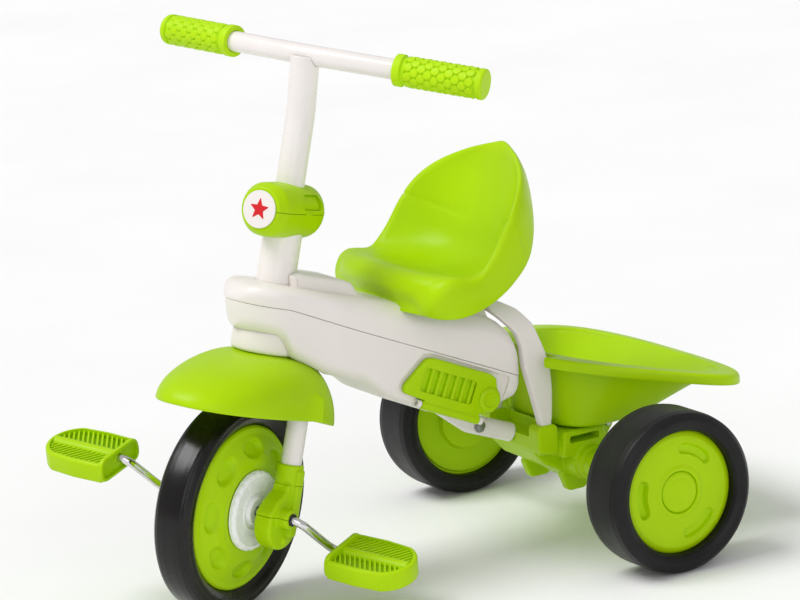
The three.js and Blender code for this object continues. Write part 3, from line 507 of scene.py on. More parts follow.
def scales(x, around, length):
    """Height of the round scales on a grip, in rows set half a step apart, with smooth ends."""
    pitch, count, radius = 7.6, 9, 5.2
    step = 2 * PI * GRIP_R / count
    arc_length = around * GRIP_R
    height = np.zeros_like(arc_length)
    for row in range(-1, 13):
        centre = 17 + row * pitch
        if centre > length - 12:
            continue
        offset = (arc_length + (row % 2) * step / 2 + step / 2) % step - step / 2
        dx = x - centre
        away = np.sqrt(offset ** 2 + dx ** 2)
        disc = (0.6 + 0.4 * (dx + radius) / (2 * radius)) * (1 - smoothstep(away, radius - 0.9, radius + 0.1))
        height = np.maximum(height, disc)
    zone = smoothstep(x, 12.5, 14) * (1 - smoothstep(x, length - 9, length - 8))
    return 2.6 * height * zone


def grip_mesh():
    length = GRIP_TO - GRIP_FROM
    bore = BAR_R + 0.3
    outline = [(bore, 0.6), (bore + 2, 0), (GRIP_R + 0.9, 0), (GRIP_R + 0.9, 8.5), (GRIP_R - 1.6, 9.2),
               (GRIP_R - 1.6, 11.2), (GRIP_R - 2, 12.2), (GRIP_R - 2, length - 8.4), (GRIP_R - 1.2, length - 8),
               (GRIP_R - 1.2, length - 7.2), (GRIP_R + 0.2, length - 6.8), (GRIP_R + 0.2, length), (0.01, length),
               (0.01, length - 5), (bore, length - 5)]
    rims = [0.3, 0.8, 1.6, 1.2, 0.4, 0.3, 0.3, 0.2, 0.2, 0.3, 0.5, 4.2, 0, 0, 0.5]
    profile = dense(fillet(outline, rims, 4), 0.75)

    def shape(r, angle, x):
        if r < GRIP_R - 2.1 or x > length - 8.2:
            return 0, 0
        return 0, scales(x, angle, length)

    return lathe(profile, 190, shape)


# ---------- clamp collar, badge and release button ----------
COLLAR_Z, COLLAR_R, COLLAR_HALF, COLLAR_FRONT = 428.5, 31, 30.5, -50


def barrel(d):
    """The collar's outside as rings along Y, flattened above and below, moved in by d."""
    r = COLLAR_R - d
    outline = [(0.02, COLLAR_FRONT + d), (23, COLLAR_FRONT + d), (r - 1.5, -40), (r, -16), (r, 18), (r - 2.5, 31),
               (r - 9, 39), (r - 17, 43 - d), (0.02, 43 - d)]
    profile = fillet(outline, [0, 3, 12, 20, 20, 14, 8, 6, 0], 5, closed=False)
    angle = np.linspace(0, 2 * PI, 96, endpoint=False)
    rings = []
    for radius, y in profile:
        x, z = radius * np.cos(angle), radius * np.sin(angle)
        z = z / (1 + (np.abs(z) / (COLLAR_HALF - d)) ** 12) ** (1 / 12)
        rings.append(np.stack([x, y + 0 * x, COLLAR_Z + z], 1))
    return loft(rings)


def barrel_x(y, z):
    """The collar's half width at a depth and height."""
    if y < -16:
        r = np.interp(y, [COLLAR_FRONT, -40, -16], [23, COLLAR_R - 2, COLLAR_R])
    else:
        r = np.interp(y, [14, 29, 39, 43], [COLLAR_R, COLLAR_R - 2.5, COLLAR_R - 9, COLLAR_R - 17])
    return math.sqrt(max(r * r - (z - COLLAR_Z) ** 2, 1))


def make_collar():
    lens = fillet([(-12, 433), (22, 433), (25, 441), (19, 448.5), (-7, 448.5), (-13, 441)], [2, 3, 3, 3, 3, 3], 5)
    seam = 0.25
    for name, low, high in (("upper", COLLAR_Z + seam, COLLAR_Z + 40), ("lower", COLLAR_Z - 40, COLLAR_Z - seam)):
        half = to_object(f"clamp_{name}", barrel(0), FORK)
        cut(half, box_mesh((-60, -80, low), (60, 80, high), 0.3), FORK, "INTERSECT")
        if name == "upper":
            cut(half, prism(lens, 18.4, 40, 0), FORK)
        finished(half, "fork", GREEN, f"collar_{name}", 35)
    button = to_object("button_pad", barrel(3), FORK)
    cut(button, prism(inset(lens, 0.35), 19, 40, 0), FORK, "INTERSECT")
    finished(button, "button", GREEN, "release_button", 35)
    ridge = [(y, COLLAR_Z + 0.6 + 2.6 * math.sin(PI * (y + 8) / 52) ** 2) for y in range(-8, 37, 2)]
    path = np.array([(barrel_x(y, z) - 0.7, y, z) for y, z in ridge])
    piece("lever_ridge", sweep(path, 1.7, 16), FORK, "fork", GREEN, None)
    face = COLLAR_FRONT - 0.3
    disc = fillet(rect(0.02, 0, 19.8, 1.6), [0, 0.5, 0.1, 0], 4)
    facing = FORK @ at(0, face, COLLAR_Z) @ turned(-90, "Z")
    piece("badge", lathe(disc, 96), facing, "fork", WHITE, "badge_disc")
    points = [arc(0, COLLAR_Z, 5.4 if k % 2 else 12.5, 90 + 36 * k, 0, 1)[0] for k in range(10)]
    star = prism(fillet(points, 0.8, 3), face - 1.9, face - 1.0, 0.25, axis="y")
    piece("badge_star", star, FORK, "fork", RED, None)


# ---------- steering tube, crown and legs ----------
def make_fork():
    piece("steering_tube", rod((0, 0, 258), (0, 0, 433), STEERER_R, 72), FORK, "fork", PAINT, "steerer_tube")
    crown = prism(fillet(rect(-LEG_X, -15, LEG_X, 15), 10, 5), 247, 257, 1.2, axis="z")
    piece("crown_plate", crown, FORK, "fork", PAINT, "fork_crown")
    for side, name, _ in SIDES:
        leg = rod((side * LEG_X, 0, 126), (side * LEG_X, 0, 246), LEG_R, 56)
        piece(f"leg_{name}", leg, FORK, "fork", PAINT, f"fork_leg_{name}")


# ---------- front fender ----------
F_FRONT, F_REAR, F_HALF, F_LOW, F_TOP, F_NECK = 145, 94, 74, 218, 276.5, 34


def dome_ring(t, d, z):
    """One level of the fender, t from 0 at the rim to 1 at the top, moved in by d."""
    def grow(full, p, q):
        return F_NECK + (full - F_NECK) * max(1 - t ** p, 0) ** (1 / q) - d

    angle = np.linspace(0, 2 * PI, 144, endpoint=False)
    c, s = np.cos(angle), np.sin(angle)
    x = grow(F_HALF, 2.6, 1.8) * np.sign(c) * np.abs(c) ** 0.85
    y = np.where(s > 0, grow(F_REAR, 1.5, 1.2), grow(F_FRONT, 1.9, 1.25)) * np.sign(s) * np.abs(s) ** 0.85
    drop = (np.where(y > 0, -0.15 * y, -0.04 * y) + 9 * smoothstep(y, 68, 96) ** 2) * (1 - t)
    rib = 5.5 * (1 - smoothstep(np.abs(y - 4), 2.8, 5.2)) * (1 - smoothstep(t, 0.42, 0.55)) * smoothstep(c, 0.8, 0.9)
    return np.stack([x + (rib if d < 1 else 0), y, z + drop], 1)


def make_fender():
    skin, height = 2.6, F_TOP - F_LOW

    def wall(d, start, count):
        levels = np.sin(np.linspace(start, 1, count) * PI / 2)
        return [dome_ring(t, d, F_LOW + (height - d) * t) for t in levels.tolist()]

    outer, inner = wall(0, 0, 34), wall(skin, 0.02, 26)
    lip = [dome_ring(0, skin, F_LOW - 0.6), dome_ring(0, skin * 0.5, F_LOW - 1.4), dome_ring(0, 0.4, F_LOW - 0.9)]
    mouth = [21.8 * outer[-1] / np.linalg.norm(outer[-1][:, :2], axis=1)[:, None] for _ in range(2)]
    rise = outer[-1] * 0.92
    rise[:, 2] = mouth[0][:, 2] = F_TOP + 1.2
    mouth[1][:, 2] = F_TOP - skin
    rings = inner[::-1] + lip + outer + [rise] + mouth
    piece("fender_dome", loft(rings, closed=True), FORK, "fork", GREEN, "front_fender", 50)


# ---------- front axle blocks ----------
def make_axle_blocks():
    boss = fillet([(14, 150), (-14, 150), (-15, 141), (-30, 130), (-40, 118)] + arc(-13, 106, 28, 180, 360, 20)
                  + [(15, 125)], [3, 4, 6, 8, 8] + [0] * 21 + [4], 4)
    hub_y, hub_z = -21.2, 113.7
    for _, name, flip in SIDES:
        parts = joined(
            prism(boss, 43.4, 64.5, 3.2), rod((LEG_X, 0, 118), (LEG_X, 0, 168), 14, 48, 1.2),
            box_mesh((60, -7.5, 92), (70, 5.5, 164), 3),
            rod((55, hub_y, hub_z), (78, hub_y, hub_z), 10.5, 40, 1.5),
            rod((56, -9, hub_z - 26), (67.5, -9, hub_z - 26), 5, 28, 1.5))
        bores = joined(
            rod((30, hub_y, hub_z), (90, hub_y, hub_z), 5.2, 32, 0),
            rod((LEG_X, 0, 126), (LEG_X, 0, 190), LEG_R + 0.25, 56, 0))
        place = FORK @ flip
        for part, low, high in (("block", hub_z + 0.3, 200), ("cap", 40, hub_z - 0.3)):
            solid = melt(to_object(f"{part}_{name}", parts, place), 0.9, 5)
            cut(solid, box_mesh((20, -90, low), (110, 90, high), 0), place, "INTERSECT")
            cut(solid, bores, place)
            if part == "block":
                groove = prism(arc(LEG_X, 0, 24, 0, 360, 40)[:-1], 146.7, 147.3, 0, axis="z")
                core = fillet(rect(40.8, -13.2, 67.2, 13.2), 12, 6)
                ring = cut(to_object("ring", groove, place), prism(core, 146, 148, 0, axis="z"), place)
                cut(solid, taken(ring), HERE)
            finished(solid, "fork", GREEN, f"axle_{part}_{name}", 50)


# ---------- front wheel ----------
def both_sides(half, radii, steps):
    """A wheel's profile of (radius, x) from its positive half, corners rounded."""
    return fillet([(r, -x) for r, x in half] + half[::-1], radii + radii[::-1], steps)


def make_front_wheel():
    r, w, rim = 115.2, 22, 88.6
    tyre = both_sides([(rim, 14), (92, 17.5), (98, w - 1), (107, w), (r - 1, w - 6.5), (r, 6)],
                      [0.5, 3, 4, 5, 7, 20], 5)

    def groove(radius, angle, x):
        line = np.exp(-((abs(x) - 15.2) / 0.7) ** 2) * (radius > 112)
        side = np.exp(-((radius - 103.5) / 0.6) ** 2) * (abs(x) > w - 2)
        return -np.sign(x) * 0.7 * side, -0.9 * line

    piece("tyre_front", lathe(dense(tyre, 1.6), 180, groove), HUB, "front_wheel", FRONT_TYRE, "front_tyre", 60)

    disc = fillet([(20.4, 6), (20.4, 21), (26, 21.6), (44, 26.6), (52, 27), (60, 25.2), (66, 22.5), (80, 17.4),
                   (86, 17), (rim, 14.8), (rim, 3), (85.5, 3), (85.5, 10), (60, 17.5), (46, 20), (24, 16), (24, 6)],
                  [1, 1, 2, 4, 4, 6, 8, 6, 2, 2, 1, 1, 3, 3, 3, 2, 1], 4)

    def dimples(radius, angle, x):
        if x < 12 or not 50 < radius < 82:
            return 0, 0
        off = (angle - 0.1 + PI / 8) % (PI / 4) - PI / 8
        reach = ((radius - 65.5) / 10) ** 2 + (off * 65.5 / 17) ** 2
        return -6.2 * (1 - smoothstep(reach, 0.42, 1.08)), 0

    outer = lathe(dense(disc, 1.5), 216, dimples)
    for _, name, flip in SIDES:
        piece(f"wheel_disc_{name}", outer, HUB @ flip, "front_wheel", GREEN, f"front_disc_{name}", 50)
    spool = fillet(rect(5.2, -20, 20.2, 20), 1, 3)
    piece("hub_spool", lathe(spool, 80), HUB, "front_wheel", HUB_GREY, "front_hub")

    rim_ring = [(6, 27.3), (43, 27.3), (43, 31), (41, 33.4), (37.5, 33.8), (35.5, 32.4), (22, 31.2), (20.5, 32.2)]
    dial = fillet(rim_ring + [(18.5, 30.6), (15.5, 30.6), (14, 34.8), (6, 34.8)],
                  [0.5, 0.5, 2, 1.4, 1, 1, 0.8, 0.6, 0.6, 0.6, 1, 0.5], 4)

    def knurl(radius, angle, x):
        notch = smoothstep(np.cos(angle * 24), 0.1, 0.6) * (radius > 40) * (x > 28)
        mark = 0.8 * (1 - smoothstep(np.abs((angle * 6 / PI) % 2 - 1) - 0.8, 0.02, 0.06))
        flat = mark * (24 < radius < 33) * (x > 30)
        return -0.6 * (flat > 0.5), -0.8 * notch

    piece("dial_ring", lathe(dense(dial, 1.2), 240, knurl), HUB, "dial", HUB_GREY, "clutch_dial", 45)
    cover = fillet(rim_ring + [(18.5, 30.6), (6, 31.5)], [0.5, 0.5, 2, 1.4, 1, 1, 0.8, 0.6, 0.6, 0.5], 4)
    piece("cover_right", lathe(dense(cover, 1.2), 160), HUB @ MIRROR, "front_wheel", HUB_GREY, "hub_cover_right", 45)


# ---------- crank and pedals ----------
THROW = Vector((0, 54.8, -30.2))
PEDAL_IN, PEDAL_LENGTH, PEDAL_HALF, PEDAL_TILT = 110, 90, 33.5, 24


def make_crank():
    def arm(s):
        return [(s * 86, 0, 0), (s * 101, s * THROW.y, s * THROW.z), (s * 190, s * THROW.y, s * THROW.z)]

    route = fillet(arm(-1)[::-1] + arm(1), 17, 10, closed=False)
    piece("crank_rod", sweep(route, 4.5, 36), HUB, "crank", CHROME, "crank_axle")
    for side, name, flip in SIDES:
        place = HUB @ at(side * PEDAL_IN, side * THROW.y, side * THROW.z)
        place = place @ turned(PEDAL_TILT, "X") @ flip
        make_pedal(name, place)


def make_pedal(name, place):
    """A D-shaped tray with chevron ribs and a flange at its inner end, spindle along X."""
    h, length = PEDAL_HALF, PEDAL_LENGTH
    raw = [(1, -h), (length * 0.42, -h - 1.5)] + arc(length - h - 3, 0, h + 2, -66, 66, 24)
    raw += [(length * 0.42, h + 1.5), (1, h)]

    def plan(d, corner):
        return fillet(inset(raw, d), [corner, 30] + [0] * 25 + [30, corner], 6)

    tray = to_object(f"pedal_tray_{name}", prism(plan(0, 4), -15.5, 6.5, 3.2, axis="z", steps=6), place)
    cut(tray, prism(plan(4.6, 2), 0.4, 12, 0, axis="z"), place)
    cut(tray, prism(plan(3, 2), -25, -2.4, 0, axis="z"), place)
    ribs = []
    pitch, lean = 6.2, math.tan(math.radians(33))
    for k in range(-8, 15):
        x = k * pitch + 4
        far = x + lean * 40
        outline = [(x, 0), (far, 40), (far + 2.6, 40), (x + 2.6, 0), (far + 2.6, -40), (far, -40)]
        ribs.append(prism(outline, 0, 4.6, 0.5, axis="z"))
    veins = cut(to_object("veins", joined(*ribs), place), prism(plan(4.2, 2), -1, 12, 0, axis="z"), place, "INTERSECT")
    cut(tray, taken(veins), HERE, "UNION")
    flange = prism(fillet([(-h - 1.5, -16), (h + 1.5, -16), (h - 1, 10.5), (-h + 1, 10.5)], 12, 8), -0.5, 5, 1.6)
    cut(tray, flange, place, "UNION")
    hollow = prism(fillet([(-h + 2, -12.5), (h - 2, -12.5), (h - 4.5, 7), (-h + 4.5, 7)], 9, 8), -3, 2.6, 0)
    cut(tray, hollow, place)
    cut(tray, rod((1, 0, 0), (length - 6, 0, 0), 7.5, 32), place, "UNION")
    cut(tray, rod((-6, 0, 0), (length - 9, 0, 0), 4.8, 32, 0), place)
    finished(tray, f"{name}_pedal", GREEN, f"pedal_{name}", 40)


# ---------- head bearing ----------
def make_head():
    collar = fillet(rect(26.4, 278, 37, 303), [0.5, 6, 7, 0.5], 6)
    piece("head_ring", lathe(collar, 120), HEAD @ turned(-90, "Y"), "frame", WHITE, "head_collar", 50)


# ---------- body ----------
NOSE_Y, NOSE_R, TAIL_Y, BODY_HALF = -338, 50, -71, 56
SIDE = BASE @ at(0, -165, 200) @ Matrix.Rotation(-math.atan(0.457), 4, "X")


def body_top(y):
    line = [(-394, 320), (-389, 335), (-382, 345), (-374, 349), (-362, 348.8), (-330, 340), (-112, 270.7),
            (-100, 265.5), (-90, 258.5), (-80, 248), (-74, 238), (-71, 230)]
    return level(line, y)


def body_seam(y):
    return level([(-420, 341), (-343, 319.6), (-270, 285), (-195, 251), (-60, 190)], y)


def body_floor(y):
    line = [(-394, 312), (-390, 305), (-384, 301), (-356, 292.5), (-352, 289), (-349, 281), (-346.5, 271), (-342, 265),
            (-309, 243), (-266, 226.5), (-254, 216), (-240, 203),
            (-184, 176), (-160, 170), (-96, 168), (-80, 174), (-73, 188), (-71, 200)]
    return level(line, y)


def body_half(y):
    if y < NOSE_Y:
        return math.sqrt(max(NOSE_R ** 2 - (y - NOSE_Y) ** 2, 0.5))
    if y > TAIL_Y - 14:
        return BODY_HALF - 14 + math.sqrt(max(14 ** 2 - (y - TAIL_Y + 14) ** 2, 0))
    return np.interp(y, [NOSE_Y, -290], [NOSE_R, BODY_HALF])


def body_section(y, half, low, high, r_low, r_high, crown=0.0, bulge=0.0):
    """One ring across the body at y, with rounded corners and a slightly crowned top."""
    half, high = max(half, 0.6), max(high, low + 1.2)
    reach = 0.48 * min(2 * half, high - low)
    r_low, r_high = min(r_low, reach), min(r_high, reach)
    corners = [(half - r_low, low + r_low, r_low, -90, 0), (half - r_high, high - r_high, r_high, 0, 90),
               (-half + r_high, high - r_high, r_high, 90, 180), (-half + r_low, low + r_low, r_low, 180, 270)]
    points = []
    for k, corner in enumerate(corners):
        here = arc(*corner, 9)
        following = arc(*corners[(k + 1) % 4], 1)[0]
        points += here
        points += [tuple(np.array(here[-1]) + (np.array(following) - here[-1]) * i / 8) for i in range(1, 8)]
    points = np.array(points)
    x, z = points[:, 0], points[:, 1]
    share = (z - low) / (high - low)
    z = z - crown * share * (x / half) ** 2
    x = x * (1 + bulge / max(half, 8) * np.sin(PI * share))
    return np.stack([x, np.full(len(x), y), z], 1)


def body_stations():
    nose = [NOSE_Y - NOSE_R * math.sin(math.radians(t)) for t in (88, 82, 76, 70, 63, 56, 49, 42, 35, 28, 21, 14, 7)]
    tail = [TAIL_Y - 14 + 14 * math.sin(math.radians(t)) for t in (0, 15, 30, 45, 60, 72, 82, 90)]
    return nose + list(np.arange(NOSE_Y, TAIL_Y - 15, 3.0)) + tail


def make_body():
    ys = body_stations()
    upper = loft([body_section(y, body_half(y), body_seam(y) + 0.2, body_top(y), 0.9, 21, 2.0, 0.8) for y in ys])
    lower = loft([body_section(y, body_half(y) - 0.9, body_floor(y), body_seam(y) - 0.2, 17, 0.9) for y in ys])
    hump = [(-328, 322), (-238, 296), (-240.5, 311.5), (-250, 317), (-258, 330), (-268, 335), (-318, 351), (-328, 350)]
    top = to_object("body_roof", upper, BASE)
    cut(top, prism(fillet(hump, [2, 2, 4, 7, 6, 7, 6, 3], 6), -31, 31, 5, steps=6), BASE, "UNION")
    cut(top, rod((0, 0, 322), (0, 0, 420), STEERER_R + 0.9, 72, 0), HEAD)
    cut(top, rod((0, 0, 270), (0, 0, 347), 27, 60, 0), HEAD)
    finished(top, "frame", WHITE, "body_upper", 40)
    piece("seat_rail", box_mesh((-24, -188, 268), (24, -119, 298), 2), BASE, "frame", WHITE, None)

    belly = to_object("body_belly", lower, BASE)
    cut(belly, rod((0, 0, 262), (0, 0, 352), 27, 60, 0), HEAD)
    dish = [(0.02, 185), (112, 185), (112, 222), (95, 237), (76, 253), (64, 265.5), (52, 272), (37.5, 277.6),
            (37.5, 303.5), (0.02, 303.5)]
    cut(belly, lathe(dish, 96), HEAD @ turned(-90, "Y"))
    spine = fillet([(0, -59, 120), (0, -112, 141), (0, -165, 184), (0, -307, 292)], 26, 8, closed=False)
    cut(belly, sweep(spine, 12, 40, 0), BASE)
    pocket = fillet([(-62, -30), (72, -30), (72, 31), (-32, 32), (-44, 29), (-62, -6)], [4, 4, 6, 6, 8, 4], 5)
    for place in (SIDE, SIDE @ MIRROR):
        cut(belly, prism(pocket, 51.4, 80, 0), place)
    finished(belly, "frame", WHITE, "body_lower", 40)
    piece("spine", sweep(spine, 10.5, 44), BASE, "frame", PAINT, "spine_tube")
    for _, name, flip in SIDES:
        make_footrest(name, SIDE @ flip)
        ears = joined(*[joined(rod((56.5, s, -23.5), (56.5, s + 4.7, -23.5), 4.3, 28, 0.5),
                               box_mesh((49, s, -27.6), (56, s + 4.7, -19.4), 0.6)) for s in (-35, 46.3)])
        piece(f"hinge_ears_{name}", ears, SIDE @ flip, "frame", WHITE, None)
    bolt = joined(prism(fillet(arc(0, 0, 5.6, 0, 360, 6)[:-1], 0.3, 1), 11.6, 15, 0.5),
                  lathe(fillet(rect(0.02, 10.6, 7, 11.7), [0, 0.3, 0.3, 0], 2), 40),
                  lathe(fillet([(0.02, 14.5), (4.4, 14.5), (3.4, 15.9), (0.02, 16.2)], [0, 0.2, 0.8, 0], 3), 40),
                  rod((-14, 0, 0), (12, 0, 0), 2.8, 20))
    piece("bolt", bolt, BASE @ at(0, -104, 137.8), "frame", STEEL, "spine_bolt")


def make_footrest(name, place):
    plan = fillet([(-56, -17), (20, -21), (40, -18)] + arc(50, 1, 15, -80, 40, 14)
                  + [(56, 16), (52, 25), (44, 28), (-30, 28), (-40, 25), (-57, -8)],
                  [5, 8, 6] + [0] * 15 + [4, 4, 6, 8, 8, 5], 6)
    panel = to_object(f"footrest_panel_{name}", prism(plan, 52, 61, 2.6, steps=6), place)
    window = fillet(rect(-39, -10, 29, 16), 4, 5)
    cut(panel, prism(window, 56.4, 70, 0), place)
    ribs = [prism(fillet(rect(s, -10.6, s + 4.4, 16.6), 0.4, 1), 55, 60.2, 1.2)
            for s in (-29.6 + 10.6 * k for k in range(6))]
    cut(panel, joined(*ribs), place, "UNION")
    dome = [(0.02, 55), (13.2, 55), (13.2, 62.6), (10.5, 64.2), (8.2, 64.2), (7.2, 62.8), (3, 62.4), (0.02, 62.4)]
    boss = lathe(fillet(dome, [0, 0, 1.6, 1, 0.8, 0.8, 1, 0], 4), 72)
    cut(panel, moved(boss, at(0, 50, 1)), place, "UNION")
    cut(panel, rod((56.5, -29.8, -23.5), (56.5, 45.8, -23.5), 5, 36, 0.6), place, "UNION")
    cut(panel, box_mesh((52.6, -28, -24), (60.2, 44, -15), 1), place, "UNION")
    cut(panel, rod((56.5, -60, -23.5), (56.5, 80, -23.5), 2.3, 24, 0), place)
    finished(panel, f"{name}_footrest", GREEN, f"footrest_{name}", 40)


# ---------- rear hoop, axle housing and sleeves ----------
def make_hoop():
    middle = [(50.2, 0, 130)] + [(x, 0, z) for x, z in arc(13.2, 239, 37, 0, 90, 15)]
    path = np.array(middle + [(-x, y, z) for x, y, z in middle[::-1]])
    fine = []
    for a, b in zip(path, path[1:]):
        parts = max(1, int(np.linalg.norm(b - a) / 6))
        fine += [a + (b - a) * k / parts for k in range(parts)]
    path = np.array(fine + [path[-1]])
    tangent = unit(np.gradient(path, axis=0))
    front = [(130, -52), (138, -53), (170, -60), (205, -68.5), (228, -70), (244, -75.5), (262, -90),
             (270, -97), (290, -97.5)]
    rear = [(130, -40), (150, -37), (175, -35), (200, -35.5), (224, -43), (252, -54), (268, -66),
            (277, -80), (284, -95)]
    rings = []
    for p, t in zip(path, tangent):
        normal = np.array([t[2], 0, -t[0]])
        depth = level(rear, p[2]) - level(front, p[2])
        section = fillet(rect(-6.2, 0, 6.2, depth), 3.6, 5)
        section = np.array([q for a, b in zip(section, np.roll(section, -1, 0)) for q in (a, (a + b) / 2)])
        n, v = section[:, 0], section[:, 1] / depth
        z = p[2] + n * normal[2]
        y = level(front, z) * (1 - v) + level(rear, z) * v
        rings.append(np.stack([p[0] + n * normal[0], y, z], 1))
    piece("hoop", loft(rings), BASE, "frame", WHITE, "rear_hoop", 45)


def make_housing():
    core = fillet([(-20, 74), (-8, 66), (8, 55)] + arc(4, 66, 14, -60, 10, 6)
                  + [(24, 74), (27, 90), (22, 108), (6, 117), (-34, 119), (-58, 112), (-58, 104), (-44, 88)], 4, 3)
    lobe = fillet([(-60, 106), (-34, 100), (-34, 136), (-60, 136)], [5, 5, 7, 7], 5)
    lug = fillet([(6, 96), (25, 86)] + arc(40, 119, 7.5, -60, 120, 12) + [(6, 117)], 1, 2)
    solids = [prism(core, -44, 44, 3), prism(lobe, -60, 60, 3)]
    solids += [prism(lug, x, x + 6, 1.2) for x in (-44, 38)]
    solids += [rod((s * 40, 0, REAR_R), (s * 50, 0, REAR_R), 13, 40, 1.5) for s in (1, -1)]
    solids += [box_mesh((s * 52 - 2, -57, 102), (s * 52 + 2, -20, 124), 1) for s in (1, -1)]
    saddle = fillet([(-34, 96), (26, 96), (22, 126), (-30, 126)], [4, 6, 5, 5], 4)
    solids += [prism(saddle, -66, 66, 3)]
    for _, _, flip in SIDES:
        ring = fillet([(9.3, 40), (21, 40), (21, 66), (18.6, 68), (18.6, 74), (16.2, 76), (16.2, 88), (14, 91),
                       (9.3, 91)], [0, 0, 1, 0.5, 0.5, 0.5, 1, 1, 0.3], 3)
        place = at(0, 0, REAR_R) @ flip
        solids += [moved(lathe(ring, 72), place)]
    tab = fillet([(-16, 52), (8, 52), (12, 70), (-24, 74)], [7, 7, 3, 3], 5)
    solids += [prism(tab, x, x + 12, 2) for x in (32, -44)]
    block = melt(to_object("axle_saddle", joined(*solids), BASE), 1.1, 4)
    for tool in (rod((-90, 0, REAR_R), (90, 0, REAR_R), 5.4, 32, 0),
                 rod((-90, 40, 119), (90, 40, 119), 3.3, 28, 0),
                 box_mesh((-40, -64, 122.5), (40, -36, 150), 2),
                 sweep(np.array([(0, -57.5, 119.4), (0, -80, 128.3), (0, -112, 141)]), 11.6, 40, 0),
                 box_mesh((46, -24, 112), (72, 14, 120), 3), box_mesh((-72, -24, 112), (-46, 14, 120), 3)):
        cut(block, tool, BASE)
    finished(block, "frame", GREEN, "axle_housing", 50)
    for side, name, _ in SIDES:
        tube = rod((side * 44.4, 0, REAR_R), (side * 187.4, 0, REAR_R), 9, 44)
        piece(f"sleeve_{name}", tube, BASE, "frame", PAINT, f"axle_sleeve_{name}")


# ---------- rear wheels ----------
WHEEL_X = 215.4


def make_rear_wheels():
    r, w, rim = REAR_R, 33, 66.6
    tyre = both_sides([(rim, 26), (69, 29.5), (74, w - 0.6), (80, w), (r - 1.2, w - 6), (r, w - 14)],
                      [0.5, 2, 3, 5, 6, 10], 6)
    profile = dense(tyre, 1.8)

    def line(radius, angle, x):
        return 0, -0.7 * np.exp(-((abs(x) - 22.5) / 0.6) ** 2) * (radius > 84)

    disc = fillet([(8, -14), (8, 19.6), (22.4, 19.6), (23.4, 22.6), (26, 22.8), (30, 21.6), (52, 21.2), (60, 20.6),
                   (64, 19), (rim, 17.4), (rim, -18), (63.6, -18), (63.6, 16.2), (50, 18), (11, 16), (11, -14)],
                  [0.5, 0.5, 0.8, 1, 1.2, 3, 4, 3, 2, 1, 0.5, 0.5, 2, 3, 2, 0.5], 4)

    def slots(radius, angle, x):
        if x < 17.5 or not 36 < radius < 56:
            return 0, 0
        dip = 0
        for centre, half, width, deep in ((180, 18, 4.8, 6.5), (60, 20, 4.2, 4), (-60, 20, 4.2, 4)):
            off = (angle - math.radians(centre) + PI) % (2 * PI) - PI
            along = np.maximum(np.abs(off) - math.radians(half), 0) * 47
            away = np.sqrt((radius - 47) ** 2 + along ** 2)
            dip = dip - deep * (1 - smoothstep(away, width, width + 1.6))
        return dip, 0

    def knob(radius, angle, x):
        return 0.25 * (radius < 14), 0

    face = lathe(dense(disc, 1.1), 240, slots)
    hub = fillet([(5.5, -27.5), (34, -27.5), (36, -19.5), (63.2, -19), (63.2, -15.5), (14, -15.5), (14, -14.4),
                  (5.5, -14.4)], [0.5, 2, 2, 1, 1, 0.5, 0.5, 0.5], 4)
    cap = fillet([(0.02, 18.2), (21.9, 18.2), (21.9, 21.4), (19.5, 22.6), (9, 22.9), (0.02, 23)],
                 [0, 0.3, 1.5, 2, 4, 0], 4)
    for side, name, _ in SIDES:
        place = BASE @ at(side * WHEEL_X, 0, REAR_R) @ turned(0 if side > 0 else 180, "Z")
        body = f"{name}_rear_wheel"
        piece(f"tyre_rear_{name}", lathe(profile, 200, line), place, body, REAR_TYRE, f"rear_tyre_{name}", 60)
        piece(f"rear_face_{name}", face, place, body, GREEN, f"rear_disc_{name}", 50)
        piece(f"rear_inner_{name}", lathe(dense(hub, 4), 120), place, body, GREEN, f"rear_hub_{name}", 40)
        piece(f"hub_cap_{name}", lathe(dense(cap, 1.2), 96, knob), place, body, GREEN, f"rear_cap_{name}", 40)


# ---------- bucket ----------
def bucket_ring(half, front, rear, taper):
    """A rounded four-sided ring in the plane of the rim, wider at the rear."""
    a = np.linspace(0, 2 * PI, 200, endpoint=False)
    c, s = np.cos(a), np.sin(a)
    s = np.sign(s) * np.abs(s) ** 0.7
    x = half * (1 + taper * s) * np.sign(c) * np.abs(c) ** 0.7
    y = (front + rear) / 2 + (rear - front) / 2 * s
    return np.stack([x, y, 219 - 0.215 * (y + 65)], 1)


def lip_ring(d, dz):
    ring = bucket_ring(152 - d, -67 + d, 172 - d, 0.32)
    ring[:, 2] += dz
    return ring


def tub_ring(t, d, floor, dz=0.0):
    """The tub's wall at t from 0 at the floor to 1 at the rim, moved in by d."""
    half, rear = 80 + 52 * t ** 0.8, 72 + 84 * t ** 0.7
    ring = bucket_ring(half - d, -30 - t + d, rear - d, 0.32 * t)
    ring[:, 2] = floor + (ring[:, 2] - floor) * t + dz
    return ring


